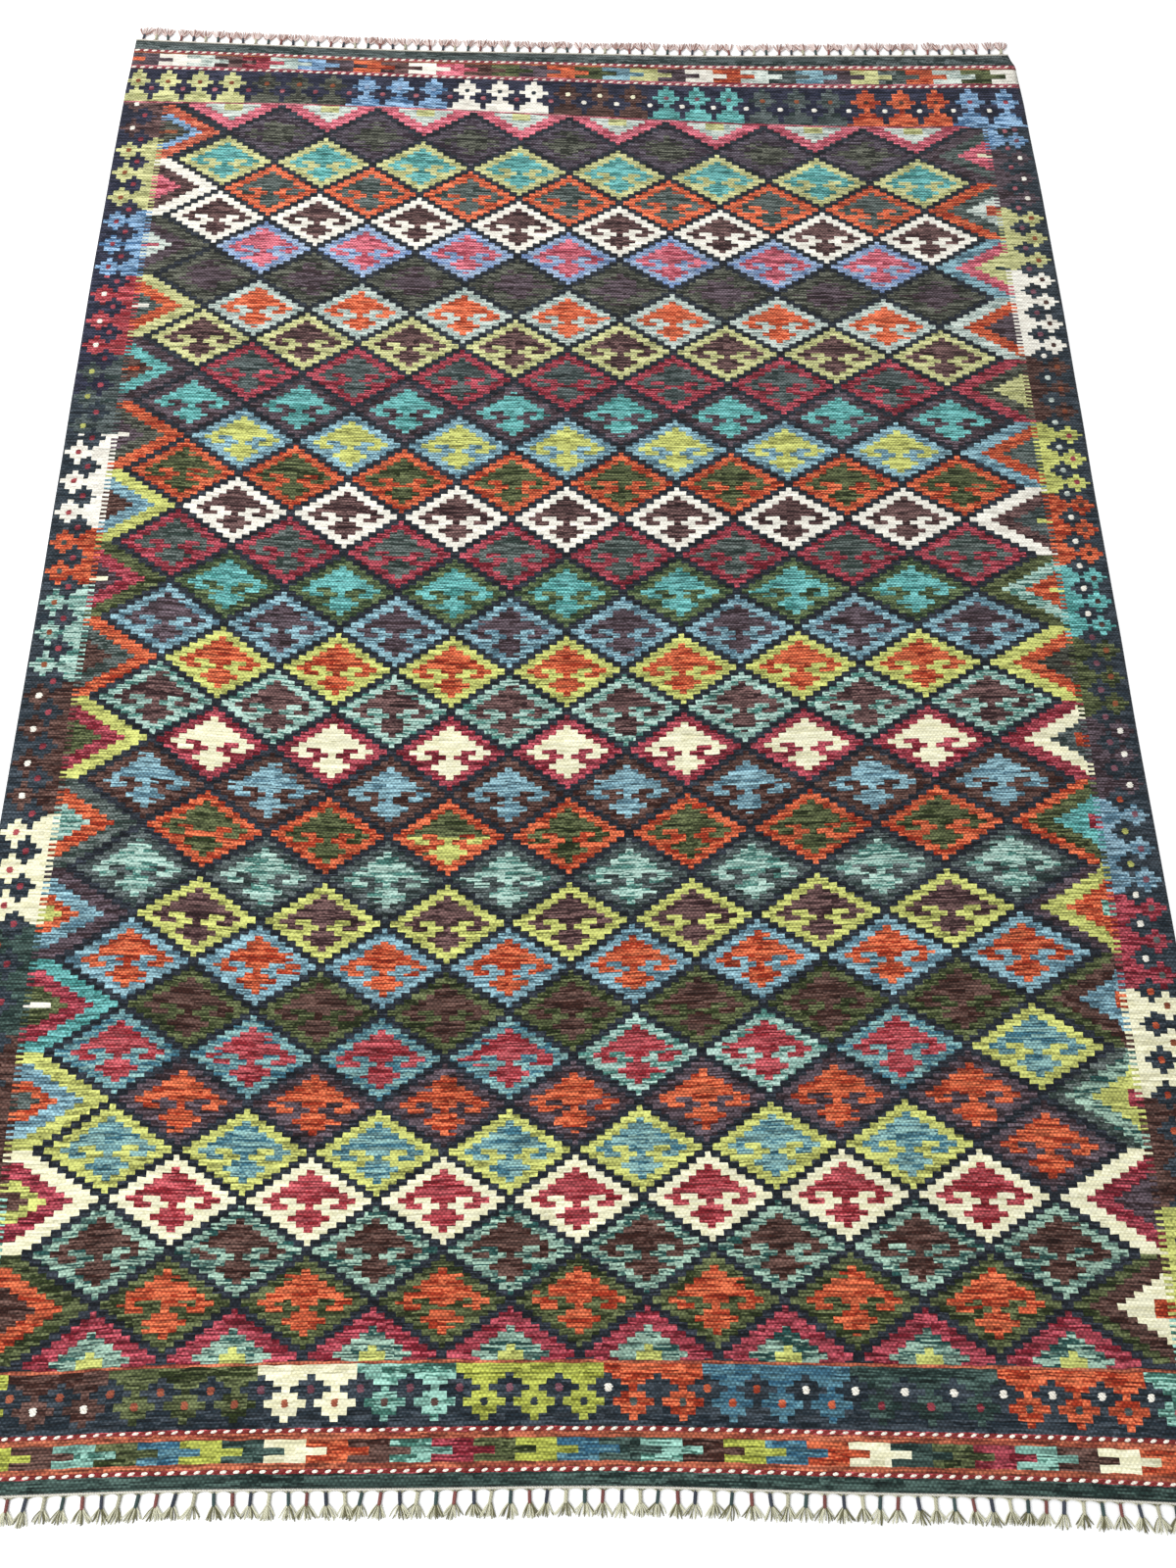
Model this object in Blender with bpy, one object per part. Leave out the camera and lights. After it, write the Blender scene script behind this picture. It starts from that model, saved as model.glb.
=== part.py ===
"""A flat-woven kilim rug, lying flat: the woven cloth, and a knotted warp fringe at each end.

Row frame, metres: +X across the rug, +Y along its warps towards the far end, +Z up. The origin is the
centre of the rug on the surface it lies on. The cloth is one slab. Each fringe is one body: the braided
cord that binds the cloth's end, with the tassels that the warps are gathered into.
"""

import math
import random

import bmesh
import bpy

# Driving dimensions, metres
CLOTH_HALF_WIDTH = 1.000
CLOTH_HALF_LENGTH = 1.450
CLOTH_THICK = 0.0030
END_BOW = 0.022  # how far each end of the cloth draws in at its middle
END_RIPPLE = 0.0015  # the small waviness of the ends
MESH_GAP = 0.0003  # between pieces that touch

# How far each selvedge stands out from CLOTH_HALF_WIDTH, read along the rug from its far end.
# Columns: share of the length, left selvedge (mm), right selvedge (mm)
SELVEDGE_WANDER = (
    (0.00, 1.0, -10.0),
    (0.02, 2.0, -8.0),
    (0.06, 5.5, 5.5),
    (0.15, 7.5, 8.5),
    (0.24, 8.5, 8.5),
    (0.33, 6.5, 6.5),
    (0.42, 4.5, 3.5),
    (0.51, 2.5, 3.0),
    (0.60, 2.5, 0.5),
    (0.70, 2.5, 1.0),
    (0.85, 2.0, 0.0),
    (1.00, 0.5, -2.0),
)
OUTLINE_STEP = 0.10  # between the points of the cloth's outline

CORD_WIDTH = 0.0040  # the braided cord along each end
CORD_THICK = 0.0030
CORD_STEP = 0.05  # between the points of a cord's outline

FRONT_TASSELS = 75
BACK_TASSELS = 70
TASSEL_INSET = 0.016  # from the selvedge to the middle of the last tassel
TASSEL_LEAN = 0.0016  # the most that a tassel's tip swings to one side
TASSEL_SHORTER = 0.15  # the most that a tassel falls short of its full length
TASSEL_SEEDS = {"front": 11, "back": 23}

# One tassel, four-sided, from its root inside the cord out to its tip.
# Columns: distance out from the cloth (mm), half width (mm), underside (mm), thickness (mm)
TASSEL_SECTIONS = (
    (2.2, 8.6, 0.7, 1.5),
    (5.6, 5.0, 0.7, 1.8),
    (8.4, 2.9, 0.4, 3.2),
    (11.0, 2.5, 0.0, 4.4),
    (20.5, 2.6, 0.0, 4.4),
    (23.5, 4.6, 0.0, 4.2),
    (31.0, 8.2, 0.0, 3.4),
    (41.0, 10.6, 0.0, 2.2),
)

CLOTH_WOOL = ("kilim_wool", (0.075, 0.085, 0.105), 0.93)
WARP_COTTON = ("warp_cotton", (0.42, 0.40, 0.31), 0.90)


def clear_scene():
    for old in list(bpy.data.objects):
        bpy.data.objects.remove(old)


def collection(name):
    made = bpy.data.collections.new(name)
    bpy.context.scene.collection.children.link(made)
    return made


def material(name, colour, roughness):
    """A Principled BSDF with the part's colour, and no metal."""
    made = bpy.data.materials.new(name)
    made.use_nodes = True
    shader = made.node_tree.nodes["Principled BSDF"]
    shader.inputs["Base Color"].default_value = (*colour, 1.0)
    shader.inputs["Roughness"].default_value = roughness
    shader.inputs["Metallic"].default_value = 0.0
    return made


def wander(share, column):
    """How far a selvedge stands out (m) at a share of the length: the table, eased between its rows."""
    for before, after in zip(SELVEDGE_WANDER, SELVEDGE_WANDER[1:]):
        if share <= after[0]:
            t = (share - before[0]) / (after[0] - before[0])
            ease = t * t * (3 - 2 * t)
            return (before[column] + (after[column] - before[column]) * ease) / 1000
    return SELVEDGE_WANDER[-1][column] / 1000


def selvedge_x(y, side):
    """Where a selvedge lies at y; side is -1 for the left one and 1 for the right one."""
    share = (CLOTH_HALF_LENGTH - y) / (2 * CLOTH_HALF_LENGTH)
    return side * (CLOTH_HALF_WIDTH + wander(share, 1 if side < 0 else 2))


def end_y(x, end):
    """Where the cloth ends at x; end is -1 for the front and 1 for the back. The ends bow inwards."""
    drawn_in = END_BOW * max(0.0, 1 - (x / CLOTH_HALF_WIDTH) ** 2)
    ripple = END_RIPPLE * math.sin(9.0 * x + 2.0 * end) * math.cos(0.5 * math.pi * x)
    return end * (CLOTH_HALF_LENGTH - drawn_in + ripple)


def evenly(low, high, step):
    """Values from low to high, both included, about step apart."""
    count = max(1, round((high - low) / step))
    return [low + (high - low) * i / count for i in range(count + 1)]


def flat_plate(name, outline, thick, parts, finish):
    """A closed flat outline, standing on the floor, as a filled 2D curve made into a welded mesh."""
    curve = bpy.data.curves.new(name, "CURVE")
    curve.dimensions = "2D"
    curve.fill_mode = "BOTH"
    curve.extrude = thick / 2
    spline = curve.splines.new("POLY")
    spline.points.add(len(outline) - 1)
    for point, (x, y) in zip(spline.points, outline):
        point.co = (x, y, 0.0, 1.0)
    spline.use_cyclic_u = True
    drawn = bpy.data.objects.new(name + "_outline", curve)
    drawn.location.z = thick / 2
    parts.objects.link(drawn)
    bpy.context.view_layer.update()

    mesh = bpy.data.meshes.new_from_object(drawn.evaluated_get(bpy.context.evaluated_depsgraph_get()))
    mesh.name = name
    shape = bmesh.new()
    shape.from_mesh(mesh)
    bmesh.ops.remove_doubles(shape, verts=shape.verts, dist=0.00001)
    bmesh.ops.recalc_face_normals(shape, faces=shape.faces)
    shape.to_mesh(mesh)
    shape.free()
    mesh.materials.clear()
    mesh.materials.append(finish)
    plate = bpy.data.objects.new(name, mesh)
    plate.matrix_world = drawn.matrix_world.copy()
    parts.objects.link(plate)
    bpy.data.objects.remove(drawn)
    return plate


def corner_x(side, end):
    """Where a selvedge meets an end of the cloth."""
    return selvedge_x(end * CLOTH_HALF_LENGTH, side)


def cloth_outline():
    """The cloth's outline, anticlockwise from its front left corner."""
    front = [(x, end_y(x, -1)) for x in evenly(corner_x(-1, -1), corner_x(1, -1), OUTLINE_STEP)]
    back = [(x, end_y(x, 1)) for x in evenly(corner_x(-1, 1), corner_x(1, 1), OUTLINE_STEP)]
    along = evenly(-CLOTH_HALF_LENGTH, CLOTH_HALF_LENGTH, OUTLINE_STEP)[1:-1]
    right = [(selvedge_x(y, 1), y) for y in along]
    left = [(selvedge_x(y, -1), y) for y in along]
    return front + right + back[::-1] + left[::-1]


def cord_outline(end):
    """The braided cord's outline: a narrow strip that follows the end of the cloth."""
    xs = evenly(corner_x(-1, end), corner_x(1, end), CORD_STEP)
    inner = [(x, end_y(x, end) + end * MESH_GAP) for x in xs]
    outer = [(x, y + end * CORD_WIDTH) for x, y in inner]
    return inner + outer[::-1]


def tassel_places(end, count, seed):
    """Each tassel's (x, lean, share of full length). The two at the corners have their full length."""
    draw = random.Random(seed)
    first = corner_x(-1, end) + TASSEL_INSET
    last = corner_x(1, end) - TASSEL_INSET
    places = []
    for i in range(count):
        lean = draw.uniform(-TASSEL_LEAN, TASSEL_LEAN)
        shorter = draw.uniform(0.0, TASSEL_SHORTER)
        if i in (0, count - 1):
            shorter = 0.0
        places.append((first + (last - first) * i / (count - 1), lean, 1 - shorter))
    return places


def add_tassel(shape, end, x, lean, length_share):
    """One tassel: a loft through TASSEL_SECTIONS, four corners each, running straight out of the end."""
    root = end_y(x, end)
    tip_out = TASSEL_SECTIONS[-1][0]
    rings = []
    for out, half_width, underside, thick in TASSEL_SECTIONS:
        swing = lean * (out / tip_out) ** 2
        y = root + end * out * (length_share if out > TASSEL_SECTIONS[3][0] else 1.0) / 1000
        corners = (
            (x + swing - half_width / 1000, underside),
            (x + swing + half_width / 1000, underside),
            (x + swing + half_width * 0.8 / 1000, underside + thick),
            (x + swing - half_width * 0.8 / 1000, underside + thick),
        )
        rings.append([shape.verts.new((cx, y, z / 1000)) for cx, z in corners])
    for near, far in zip(rings, rings[1:]):
        for k in range(4):
            shape.faces.new((near[k], near[(k + 1) % 4], far[(k + 1) % 4], far[k]))
    shape.faces.new(rings[0])
    shape.faces.new(rings[-1])


def fringe(name, end, count, parts, cutters, finish):
    """The cord along one end, with all its tassels joined to it."""
    cord = flat_plate(name, cord_outline(end), CORD_THICK, parts, finish)
    shape = bmesh.new()
    for x, lean, length_share in tassel_places(end, count, TASSEL_SEEDS[name.split("_")[1]]):
        add_tassel(shape, end, x, lean, length_share)
    bmesh.ops.recalc_face_normals(shape, faces=shape.faces)
    mesh = bpy.data.meshes.new(name + "_tassels")
    shape.to_mesh(mesh)
    shape.free()
    tassels = bpy.data.objects.new(name + "_tassels", mesh)
    tassels.hide_render = True
    tassels.display_type = "WIRE"
    cutters.objects.link(tassels)
    join = cord.modifiers.new("tassels", "BOOLEAN")
    join.operation = "UNION"
    join.object = tassels
    return cord


def build():
    clear_scene()
    parts = collection("kilim_rug")
    cutters = collection("kilim_rug_guides")
    wool = material(*CLOTH_WOOL)
    cotton = material(*WARP_COTTON)
    flat_plate("cloth", cloth_outline(), CLOTH_THICK, parts, wool)
    fringe("fringe_front", -1, FRONT_TASSELS, parts, cutters, cotton)
    fringe("fringe_back", 1, BACK_TASSELS, parts, cutters, cotton)


build()
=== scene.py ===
"""A flat-woven kilim rug lying flat: the tapestry cloth, its twined lines and its two knotted warp fringes.

Row frame, metres: +X across the rug, +Y along its warps towards the far end, +Z up. The weave is laid out
in "loom" millimetres: across from the left selvedge, and along from the far end. An end is 1 at the far end
and -1 at the front, and a side is -1 at the left and 1 at the right.
"""
import math
import random

import bpy
import numpy as np
from mathutils import Matrix, Vector


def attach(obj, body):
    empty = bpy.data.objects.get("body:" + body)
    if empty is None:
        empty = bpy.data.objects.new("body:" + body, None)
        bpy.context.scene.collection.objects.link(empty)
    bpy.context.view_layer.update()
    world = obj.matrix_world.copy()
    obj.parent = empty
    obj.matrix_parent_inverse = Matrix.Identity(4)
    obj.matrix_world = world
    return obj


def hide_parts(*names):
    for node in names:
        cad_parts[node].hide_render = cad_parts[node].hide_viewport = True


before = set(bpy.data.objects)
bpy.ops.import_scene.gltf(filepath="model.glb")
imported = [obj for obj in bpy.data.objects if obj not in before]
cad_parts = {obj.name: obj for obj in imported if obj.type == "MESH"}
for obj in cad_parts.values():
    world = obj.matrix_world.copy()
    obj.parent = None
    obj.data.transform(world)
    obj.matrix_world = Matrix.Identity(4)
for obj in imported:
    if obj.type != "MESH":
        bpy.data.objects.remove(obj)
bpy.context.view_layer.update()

# ---------------------------------------------------------------- the rug's outline
# It is the solids' outline, but for the far right corner: there the selvedge flares out within 40 mm, and the
# solids, which have a point every 100 mm, round that off
HALF_WIDTH, HALF_LENGTH = 1.000, 1.450
END_BOW = 0.022  # how far each end of the cloth draws in at its middle
END_RIPPLE = 0.0015  # the small waviness of the ends
# Share of the length from the far end, left selvedge, right selvedge (mm outside HALF_WIDTH)
SELVEDGE_WANDER = np.array((
    (0.00, 1.0, -10.0), (0.014, 1.8, 2.0), (0.06, 5.5, 5.5), (0.15, 7.5, 8.5), (0.24, 8.5, 8.5),
    (0.33, 6.5, 6.5), (0.42, 4.5, 3.5), (0.51, 2.5, 3.0), (0.60, 2.5, 0.5), (0.70, 2.5, 1.0),
    (0.85, 2.0, 0.0), (1.00, 0.5, -2.0)))
# Where loom (0, 0) lies, metres to the left of the rug's middle and beyond it
LOOM_LEFT, LOOM_FAR = 1.0035, 1.450


def selvedge_x(y, side):
    """Where a selvedge lies: the table of wander, eased between its rows by t*t*(3-2t)."""
    share = np.clip((HALF_LENGTH - np.asarray(y, float)) / (2 * HALF_LENGTH), 0, 1)
    stops, out = SELVEDGE_WANDER[:, 0], SELVEDGE_WANDER[:, 1 if side < 0 else 2]
    i = np.clip(np.searchsorted(stops, share, side="left") - 1, 0, len(stops) - 2)
    t = (share - stops[i]) / (stops[i + 1] - stops[i])
    return side * (HALF_WIDTH + (out[i] + (out[i + 1] - out[i]) * t * t * (3 - 2 * t)) / 1000)


def end_y(x, end):
    """Where the cloth ends: straight, less a parabola that draws its middle in, plus a small ripple."""
    drawn_in = END_BOW * np.maximum(0.0, 1 - (x / HALF_WIDTH) ** 2)
    ripple = END_RIPPLE * np.sin(9.0 * x + 2.0 * end) * np.cos(0.5 * math.pi * x)
    return end * (HALF_LENGTH - drawn_in + ripple)


def corner_x(side, end):
    """Where a selvedge meets an end of the cloth."""
    return float(selvedge_x(end * HALF_LENGTH, side))


def rug_x(across):
    """Metres across from loom millimetres across."""
    return across / 1000 - LOOM_LEFT


def rug_y(along):
    """Metres along from loom millimetres along."""
    return LOOM_FAR - along / 1000


def loom_across(x):
    """Loom millimetres across from metres."""
    return (x + LOOM_LEFT) * 1000


# ---------------------------------------------------------------- the yarns
# Each wool: its dye, the second shade that streaks it, and how much of it is streaked. Plant-dyed,
# hand-spun wool takes its dye unevenly, so every few centimetres of weft change tone.
YARNS = {
    "navy": ("#1e2931", "#424b53", 0.40),
    "night": ("#171c23", "#343a43", 0.40),
    "ink": ("#181d30", "#3c3e51", 0.40),
    "slate": ("#2a3833", "#6a7470", 0.50),
    "pine": ("#253331", "#626c6b", 0.50),
    "bottle": ("#20332f", "#4a6059", 0.45),
    "moss": ("#262821", "#696b5e", 0.45),
    "olive": ("#242d13", "#68704a", 0.48),
    "fern": ("#2a3b25", "#6a7a52", 0.45),
    "lime": ("#9fa256", "#d3d87b", 0.52),
    "reed": ("#a3a46c", "#d2d297", 0.50),
    "leaf": ("#8a8f38", "#b6bd56", 0.50),
    "cream": ("#dad6b0", "#efeccd", 0.60),
    "white": ("#d9d4c7", "#f2efe2", 0.65),
    "orange": ("#922d17", "#e2734b", 0.50),
    "coral": ("#ab4224", "#f37e56", 0.52),
    "clay": ("#953222", "#e48060", 0.50),
    "rust": ("#7c3d29", "#a8623f", 0.45),
    "brick": ("#8c4433", "#bf6c4e", 0.45),
    "crimson": ("#6c1724", "#bb535f", 0.48),
    "rose": ("#81323f", "#ce8089", 0.45),
    "pink": ("#9d3e4d", "#ed8291", 0.45),
    "red": ("#822028", "#c55c62", 0.45),
    "teal": ("#41847f", "#78c2bf", 0.50),
    "mist": ("#8d9f99", "#cbd6cc", 0.55),
    "aqua": ("#3f6f62", "#a0d2c1", 0.52),
    "sea": ("#244b47", "#a2c1ad", 0.50),
    "mint": ("#47796f", "#b2d0c3", 0.52),
    "ice": ("#99a8a0", "#d4dcd2", 0.55),
    "blue": ("#527483", "#95bdc7", 0.50),
    "sky": ("#6a84b0", "#a6bad2", 0.50),
    "azure": ("#456b92", "#99bddd", 0.50),
    "steel": ("#4e7083", "#94b4c2", 0.50),
    "denim": ("#3a697a", "#8bb4b0", 0.50),
    "petrol": ("#2f5a72", "#5f8b98", 0.45),
    "aubergine": ("#321e20", "#775a57", 0.48),
    "purple": ("#322428", "#665860", 0.48),
    "violet": ("#30242e", "#645c66", 0.45),
    "brown": ("#341b15", "#6a4f47", 0.46),
    "plum": ("#6f3c48", "#946571", 0.45),
}
YARN = {name: i for i, name in enumerate(YARNS)}


def linear(hex_colour):
    """An sRGB hex colour as linear RGB."""
    srgb = np.array([int(hex_colour[i:i + 2], 16) / 255 for i in (1, 3, 5)])
    return np.where(srgb <= 0.04045, srgb / 12.92, ((srgb + 0.055) / 1.055) ** 2.4)


# ---------------------------------------------------------------- the lines of the weave
# The field is a lattice of diamonds. Half a diamond is 8 columns of 13.5 mm across and 17 rows of weft along.
# The real cloth pulls that lattice out of true. ROW_LEVELS and DRIFT say how at some of its places, with a
# line for each row of half diamonds in LATTICE_R, and in it a value for each column of them in LATTICE_K
HALF_ACROSS, HALF_ALONG, COLUMN = 8, 17, 13.5
LATTICE_LEFT = 236  # loom mm across to the middle of column 0
LATTICE_K = (0, 5, 10, 15)
LATTICE_R = (-18, -14, -6, 2, 8, 14)
FIRST_R = -18  # the row at the field's far edge
K_NEAREST, K_FURTHEST = -1, 15.2  # the columns between which the tables are read
# How far along each place lies (loom mm)
ROW_LEVELS = ((198, 209, 233, 232), (519, 530, 546, 547), (1154, 1175, 1170, 1168), (1797, 1820, 1798, 1778),
              (2261, 2274, 2254, 2246), (2721, 2706, 2705, 2712))
# How far each place has drifted to the right (mm)
DRIFT = ((7, -1, -7, 6), (2, -5, -6, 7), (1, -8, -15, 6),
         (8, -3, -19, 11), (18, 5, -14, 5), (34, 14, -9, -12))
# How far the half diamonds at the left lie nearer than the lattice has them, by loom mm along. That fades out
# across SAG_FADE, which ends at SAG_END
LEFT_SAG = ((200, 0), (440, -5), (760, 2), (1860, 1), (2030, 9), (2640, 9), (2720, 4))
SAG_END, SAG_FADE = 300, 120
# Where the field meets its side borders, by side: (loom mm along, loom mm across)
FIELD_EDGES = {
    -1: ((0, 100), (1300, 101), (1900, 104), (2200, 102), (2400, 108), (2550, 117), (2710, 120)),
    1: ((200, 1905), (1000, 1903), (1800, 1903), (2050, 1900), (2200, 1892), (2500, 1892), (2700, 1886))}
EDGE_GAP = 4  # mm between a border and the next line of the field
# The side borders' columns, as shares from the selvedge to the field
BORDER_LINES = {-1: np.array((0, 4, 14.5, 25, 36, 47, 57, 68, 78, 89, 101)) / 101,
                1: np.array((0, 6, 15, 25, 36, 47, 57, 67.5, 76, 88, 99)) / 99}
# The field's chart: 154 columns, of which each border takes 10, and where column 0 of the lattice lies in it
FIELD_COLUMNS, BORDER, FIRST_MIDDLE, DIAMONDS_ACROSS = 154, 10, 20, 15
# The field's first and last rows of weft, counted from the middle of its first half diamonds
FIELD_FIRST, FIELD_LAST = -1, 545
# Eight of the field's columns are split in two, so that the field has as many lines as the end bands
SPLIT_LINES = 18 + 17 * np.arange(8)
# The column of the field's chart that each woven column shows
FIELD_COLUMN = np.insert(np.arange(FIELD_COLUMNS), SPLIT_LINES, SPLIT_LINES - 1)
COLUMNS = len(FIELD_COLUMN)
WEFT = 2.3  # mm of cloth to each weft that is drawn, which makes two of them to a row of the field

# The end bands, by end. A band's rows go from the far end to the field, or from the field to the near end:
#   rows          how high each is (mm)
#   block_lines   the lines that follow the coloured blocks; the others follow the flowers
#   first_flower  the column at the middle of the first flower
#   flowers       loom mm across to the middle of each flower
#   blocks        where the first block begins, its width (mm), and how many half blocks there are
#   flower_yarns  how many flowers of each colour, and their dots
#   navy_dots     how far across (loom mm) the dots in the navy flowers between keep each yarn
#   block_yarns   the blocks, from the left
#   block_rows    the three rows that the blocks take
#   plain_rows    rows of one yarn
#   steps         which row of FLOWER_REACH each row of the flowers shows
#   first_step    the row in which the flowers begin
#   dot_line      the line along which navy_dots is read
FLOWER_PITCH = 6  # columns
BANDS = {
    1: {
        "rows": (12.5, 12.5, 7, 4, 11.3, 11.3, 11.4, 4, 6, 4, 10, 8.5, 8.5, 9, 10, 12, 9, 8.5, 8.5, 5, 4.5),
        "block_lines": range(9),
        "first_flower": 2,
        "flowers": (25, 90, 161, 232, 311, 383, 458, 534, 608, 684, 759, 832, 908, 985, 1056, 1130, 1205,
                    1273, 1345, 1420, 1497, 1572, 1653, 1732, 1810, 1885, 1958),
        "blocks": (0.0, 62.5, 64),
        "flower_yarns": ((4, "reed", "rust"), (3, "moss", "rust"), (3, "azure", "sky"), (3, "white", "navy"),
                         (3, "brown", "cream"), (3, "teal", "plum"), (3, "pine", "rust"),
                         (3, "orange", "brown"), (3, "azure", "crimson")),
        "navy_dots": ((980, "rose"), (9999, "white")),
        "block_yarns": (
            "purple white ice aubergine crimson mist azure purple orange aubergine white pink brown olive "
            "purple orange olive blue reed purple white orange ice pine blue purple reed slate orange ice "
            "olive white").split(),
        "block_rows": (4, 5, 6),
        "plain_rows": {0: "pine", 1: "pine", 2: "rose", 3: "rust", 7: "rose", 8: "rose", 20: "rose"},
        # the two tallest steps take two rows each
        "steps": (8, 7, 6, 6, 5, 4, 3, 2, 1, 1, 0), "first_step": 9, "dot_line": 14,
    },
    -1: {
        "rows": (4, 13, 8, 8, 9, 9, 11, 11, 9, 8, 6, 9, 10.3, 10.4, 10.3, 8, 6, 9.5, 9.5),
        "block_lines": range(11, 20),
        "first_flower": 3,
        "flowers": tuple(51 + 73.1 * j for j in range(27)),
        "blocks": (-9.0, 60.7, 66),
        "flower_yarns": ((2, "leaf", "navy"), (2, "brown", "white"), (3, "olive", "brick"),
                         (2, "cream", "brick"), (2, "aqua", "brown"), (3, "leaf", "navy"),
                         (2, "orange", "slate"), (3, "petrol", "coral"), (3, "bottle", "crimson"),
                         (3, "orange", "pine"), (3, "aqua", "red")),
        "navy_dots": ((493, "brick"), (1000, "plum"), (1070, "white"), (1145, "navy"), (1300, "orange"),
                      (9999, "white")),
        "block_yarns": (
            "orange cream leaf brown aqua olive petrol leaf bottle cream orange brown aqua crimson olive "
            "leaf petrol bottle aqua brown leaf petrol orange cream bottle olive crimson aqua brown cream "
            "orange bottle leaf").split(),
        "block_rows": (12, 13, 14),
        "plain_rows": {0: "brick", 10: "red", 11: "brick", 15: "brick", 16: "red", 17: "bottle",
                       18: "bottle"},
        "steps": (0, 1, 2, 3, 4, 5, 6, 7, 8), "first_step": 1, "dot_line": 4,
    },
}
# How many columns a flower reaches from its middle in each of its rows, from the field outwards. The first
# row fills the space between the flowers, and the last has nothing
FLOWER_REACH = (9, 2, 1, 0, 1, 2, 1, 0, -1)
NAVY_DOT_STEP, DOT_STEP = 3, 5  # the rows of FLOWER_REACH that hold the dots
FAR = len(BANDS[1]["rows"])  # the line where the field begins
NEAR = FAR + FIELD_LAST - FIELD_FIRST + 1  # the line where it ends
ROWS = NEAR + len(BANDS[-1]["rows"])
FADE_COLUMNS = 12  # how many lines, from a selvedge inwards, an end band's lines take to come away from it


def lagrange(nodes, x):
    """The weight of each node at x, for the one polynomial that passes through them all."""
    x = np.asarray(x, float)
    weights = []
    for i, here in enumerate(nodes):
        w = np.ones_like(x)
        for j, other in enumerate(nodes):
            if j != i:
                w = w * (x - other) / (here - other)
        weights.append(w)
    return np.stack(weights, -1)


def lattice(table, k, r):
    """A lattice table read at column k and row r, by polynomials both ways."""
    by_row, by_column = lagrange(LATTICE_R, r), lagrange(LATTICE_K, k)
    return np.einsum("...r,rk,...k->...", by_row, np.array(table, float), by_column)


def field_lines():
    """Loom (across, along) of every line of the field: the lattice's own lines between the two toothed
    edges, and the borders' columns as shares of the way out to the selvedges."""
    r = FIRST_R + np.arange(FIELD_FIRST, FIELD_LAST + 2) / HALF_ALONG
    q = np.arange(BORDER + 1, FIELD_COLUMNS - BORDER) - FIRST_MIDDLE - 0.5
    r_grid, q_grid = np.meshgrid(r, q, indexing="ij")
    drift = lattice(DRIFT, np.clip(q_grid / HALF_ACROSS, K_NEAREST, K_FURTHEST), r_grid)
    inner = LATTICE_LEFT + COLUMN * q_grid + drift
    level = lattice(ROW_LEVELS, np.full_like(r, DIAMONDS_ACROSS / 2), r)
    edges, borders = [], []
    for side in (-1, 1):
        edge = np.interp(level, *np.transpose(FIELD_EDGES[side]))
        selvedge = loom_across(selvedge_x(rug_y(level), side))
        edges.append(edge)
        borders.append(selvedge[:, None] + (edge - selvedge)[:, None] * BORDER_LINES[side])
    inner = np.clip(inner, (edges[0] + EDGE_GAP)[:, None], (edges[1] - EDGE_GAP)[:, None])
    across = np.hstack([borders[0], inner, borders[1][:, ::-1]])
    halfway = (across[:, SPLIT_LINES - 1] + across[:, SPLIT_LINES]) / 2
    across = np.insert(across, SPLIT_LINES, halfway, axis=1)
    k = np.clip((across - LATTICE_LEFT) / (HALF_ACROSS * COLUMN), 0, K_FURTHEST)
    sag = np.interp(level, *np.transpose(LEFT_SAG))[:, None] * np.clip((SAG_END - across) / SAG_FADE, 0, 1)
    return across, lattice(ROW_LEVELS, k, r[:, None] + 0 * across) + sag


def half_block_columns(band):
    """The column at which each half block but the first begins."""
    count = band["blocks"][2]
    return [round(n * COLUMNS / count) for n in range(1, count)]


def band_lines(band, end, in_blocks):
    """Loom distance across of the lines in an end band: even between its half blocks or its flowers."""
    if in_blocks:
        start, width, count = band["blocks"]
        at = half_block_columns(band)
        across = [start + width / 2 * n for n in range(1, count)]
    else:
        across = list(band["flowers"])
        at = [band["first_flower"] + 0.5 + FLOWER_PITCH * j for j in range(len(across))]
    left, right = (loom_across(corner_x(side, end)) for side in (-1, 1))
    return np.interp(np.arange(COLUMNS + 1), [0] + at + [COLUMNS], [left] + across + [right])


def follow_selvedges(across, along):
    """Moves the outermost lines of some rows onto the selvedges, and the next ones by less and less."""
    fade = np.linspace(1, 0, FADE_COLUMNS)
    for side in (-1, 1):
        inwards = slice(None) if side < 0 else slice(None, None, -1)
        lines, levels = across[:, inwards], along[:, inwards]
        moved = loom_across(selvedge_x(rug_y(levels[:, 0]), side)) - lines[:, 0]
        lines[:, :FADE_COLUMNS] += moved[:, None] * fade


def weave_lines():
    """Loom (across, along) of every line of the whole cloth, (ROWS + 1) by (COLUMNS + 1).

    In an end band a line lies at its share of the way from the cloth's end to the field's first line."""
    across = np.zeros((ROWS + 1, COLUMNS + 1))
    along = np.zeros_like(across)
    across[FAR:NEAR + 1], along[FAR:NEAR + 1] = field_lines()
    for end, band in BANDS.items():
        shares = np.concatenate([[0], np.cumsum(band["rows"])]) / sum(band["rows"])
        edge, start, lines = (FAR, 0, range(FAR)) if end > 0 else (NEAR, NEAR, range(NEAR + 1, ROWS + 1))
        for line in lines:
            across[line] = band_lines(band, end, line - start in band["block_lines"])
            share = shares[line - start] if end > 0 else 1 - shares[line - start]
            finish = (LOOM_FAR - end_y(rug_x(across[line]), end)) * 1000
            field = np.interp(across[line], across[edge], along[edge])
            along[line] = finish + (field - finish) * share
        rows = slice(lines[0], lines[-1] + 1)
        follow_selvedges(across[rows], along[rows])
    return across, along


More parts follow.
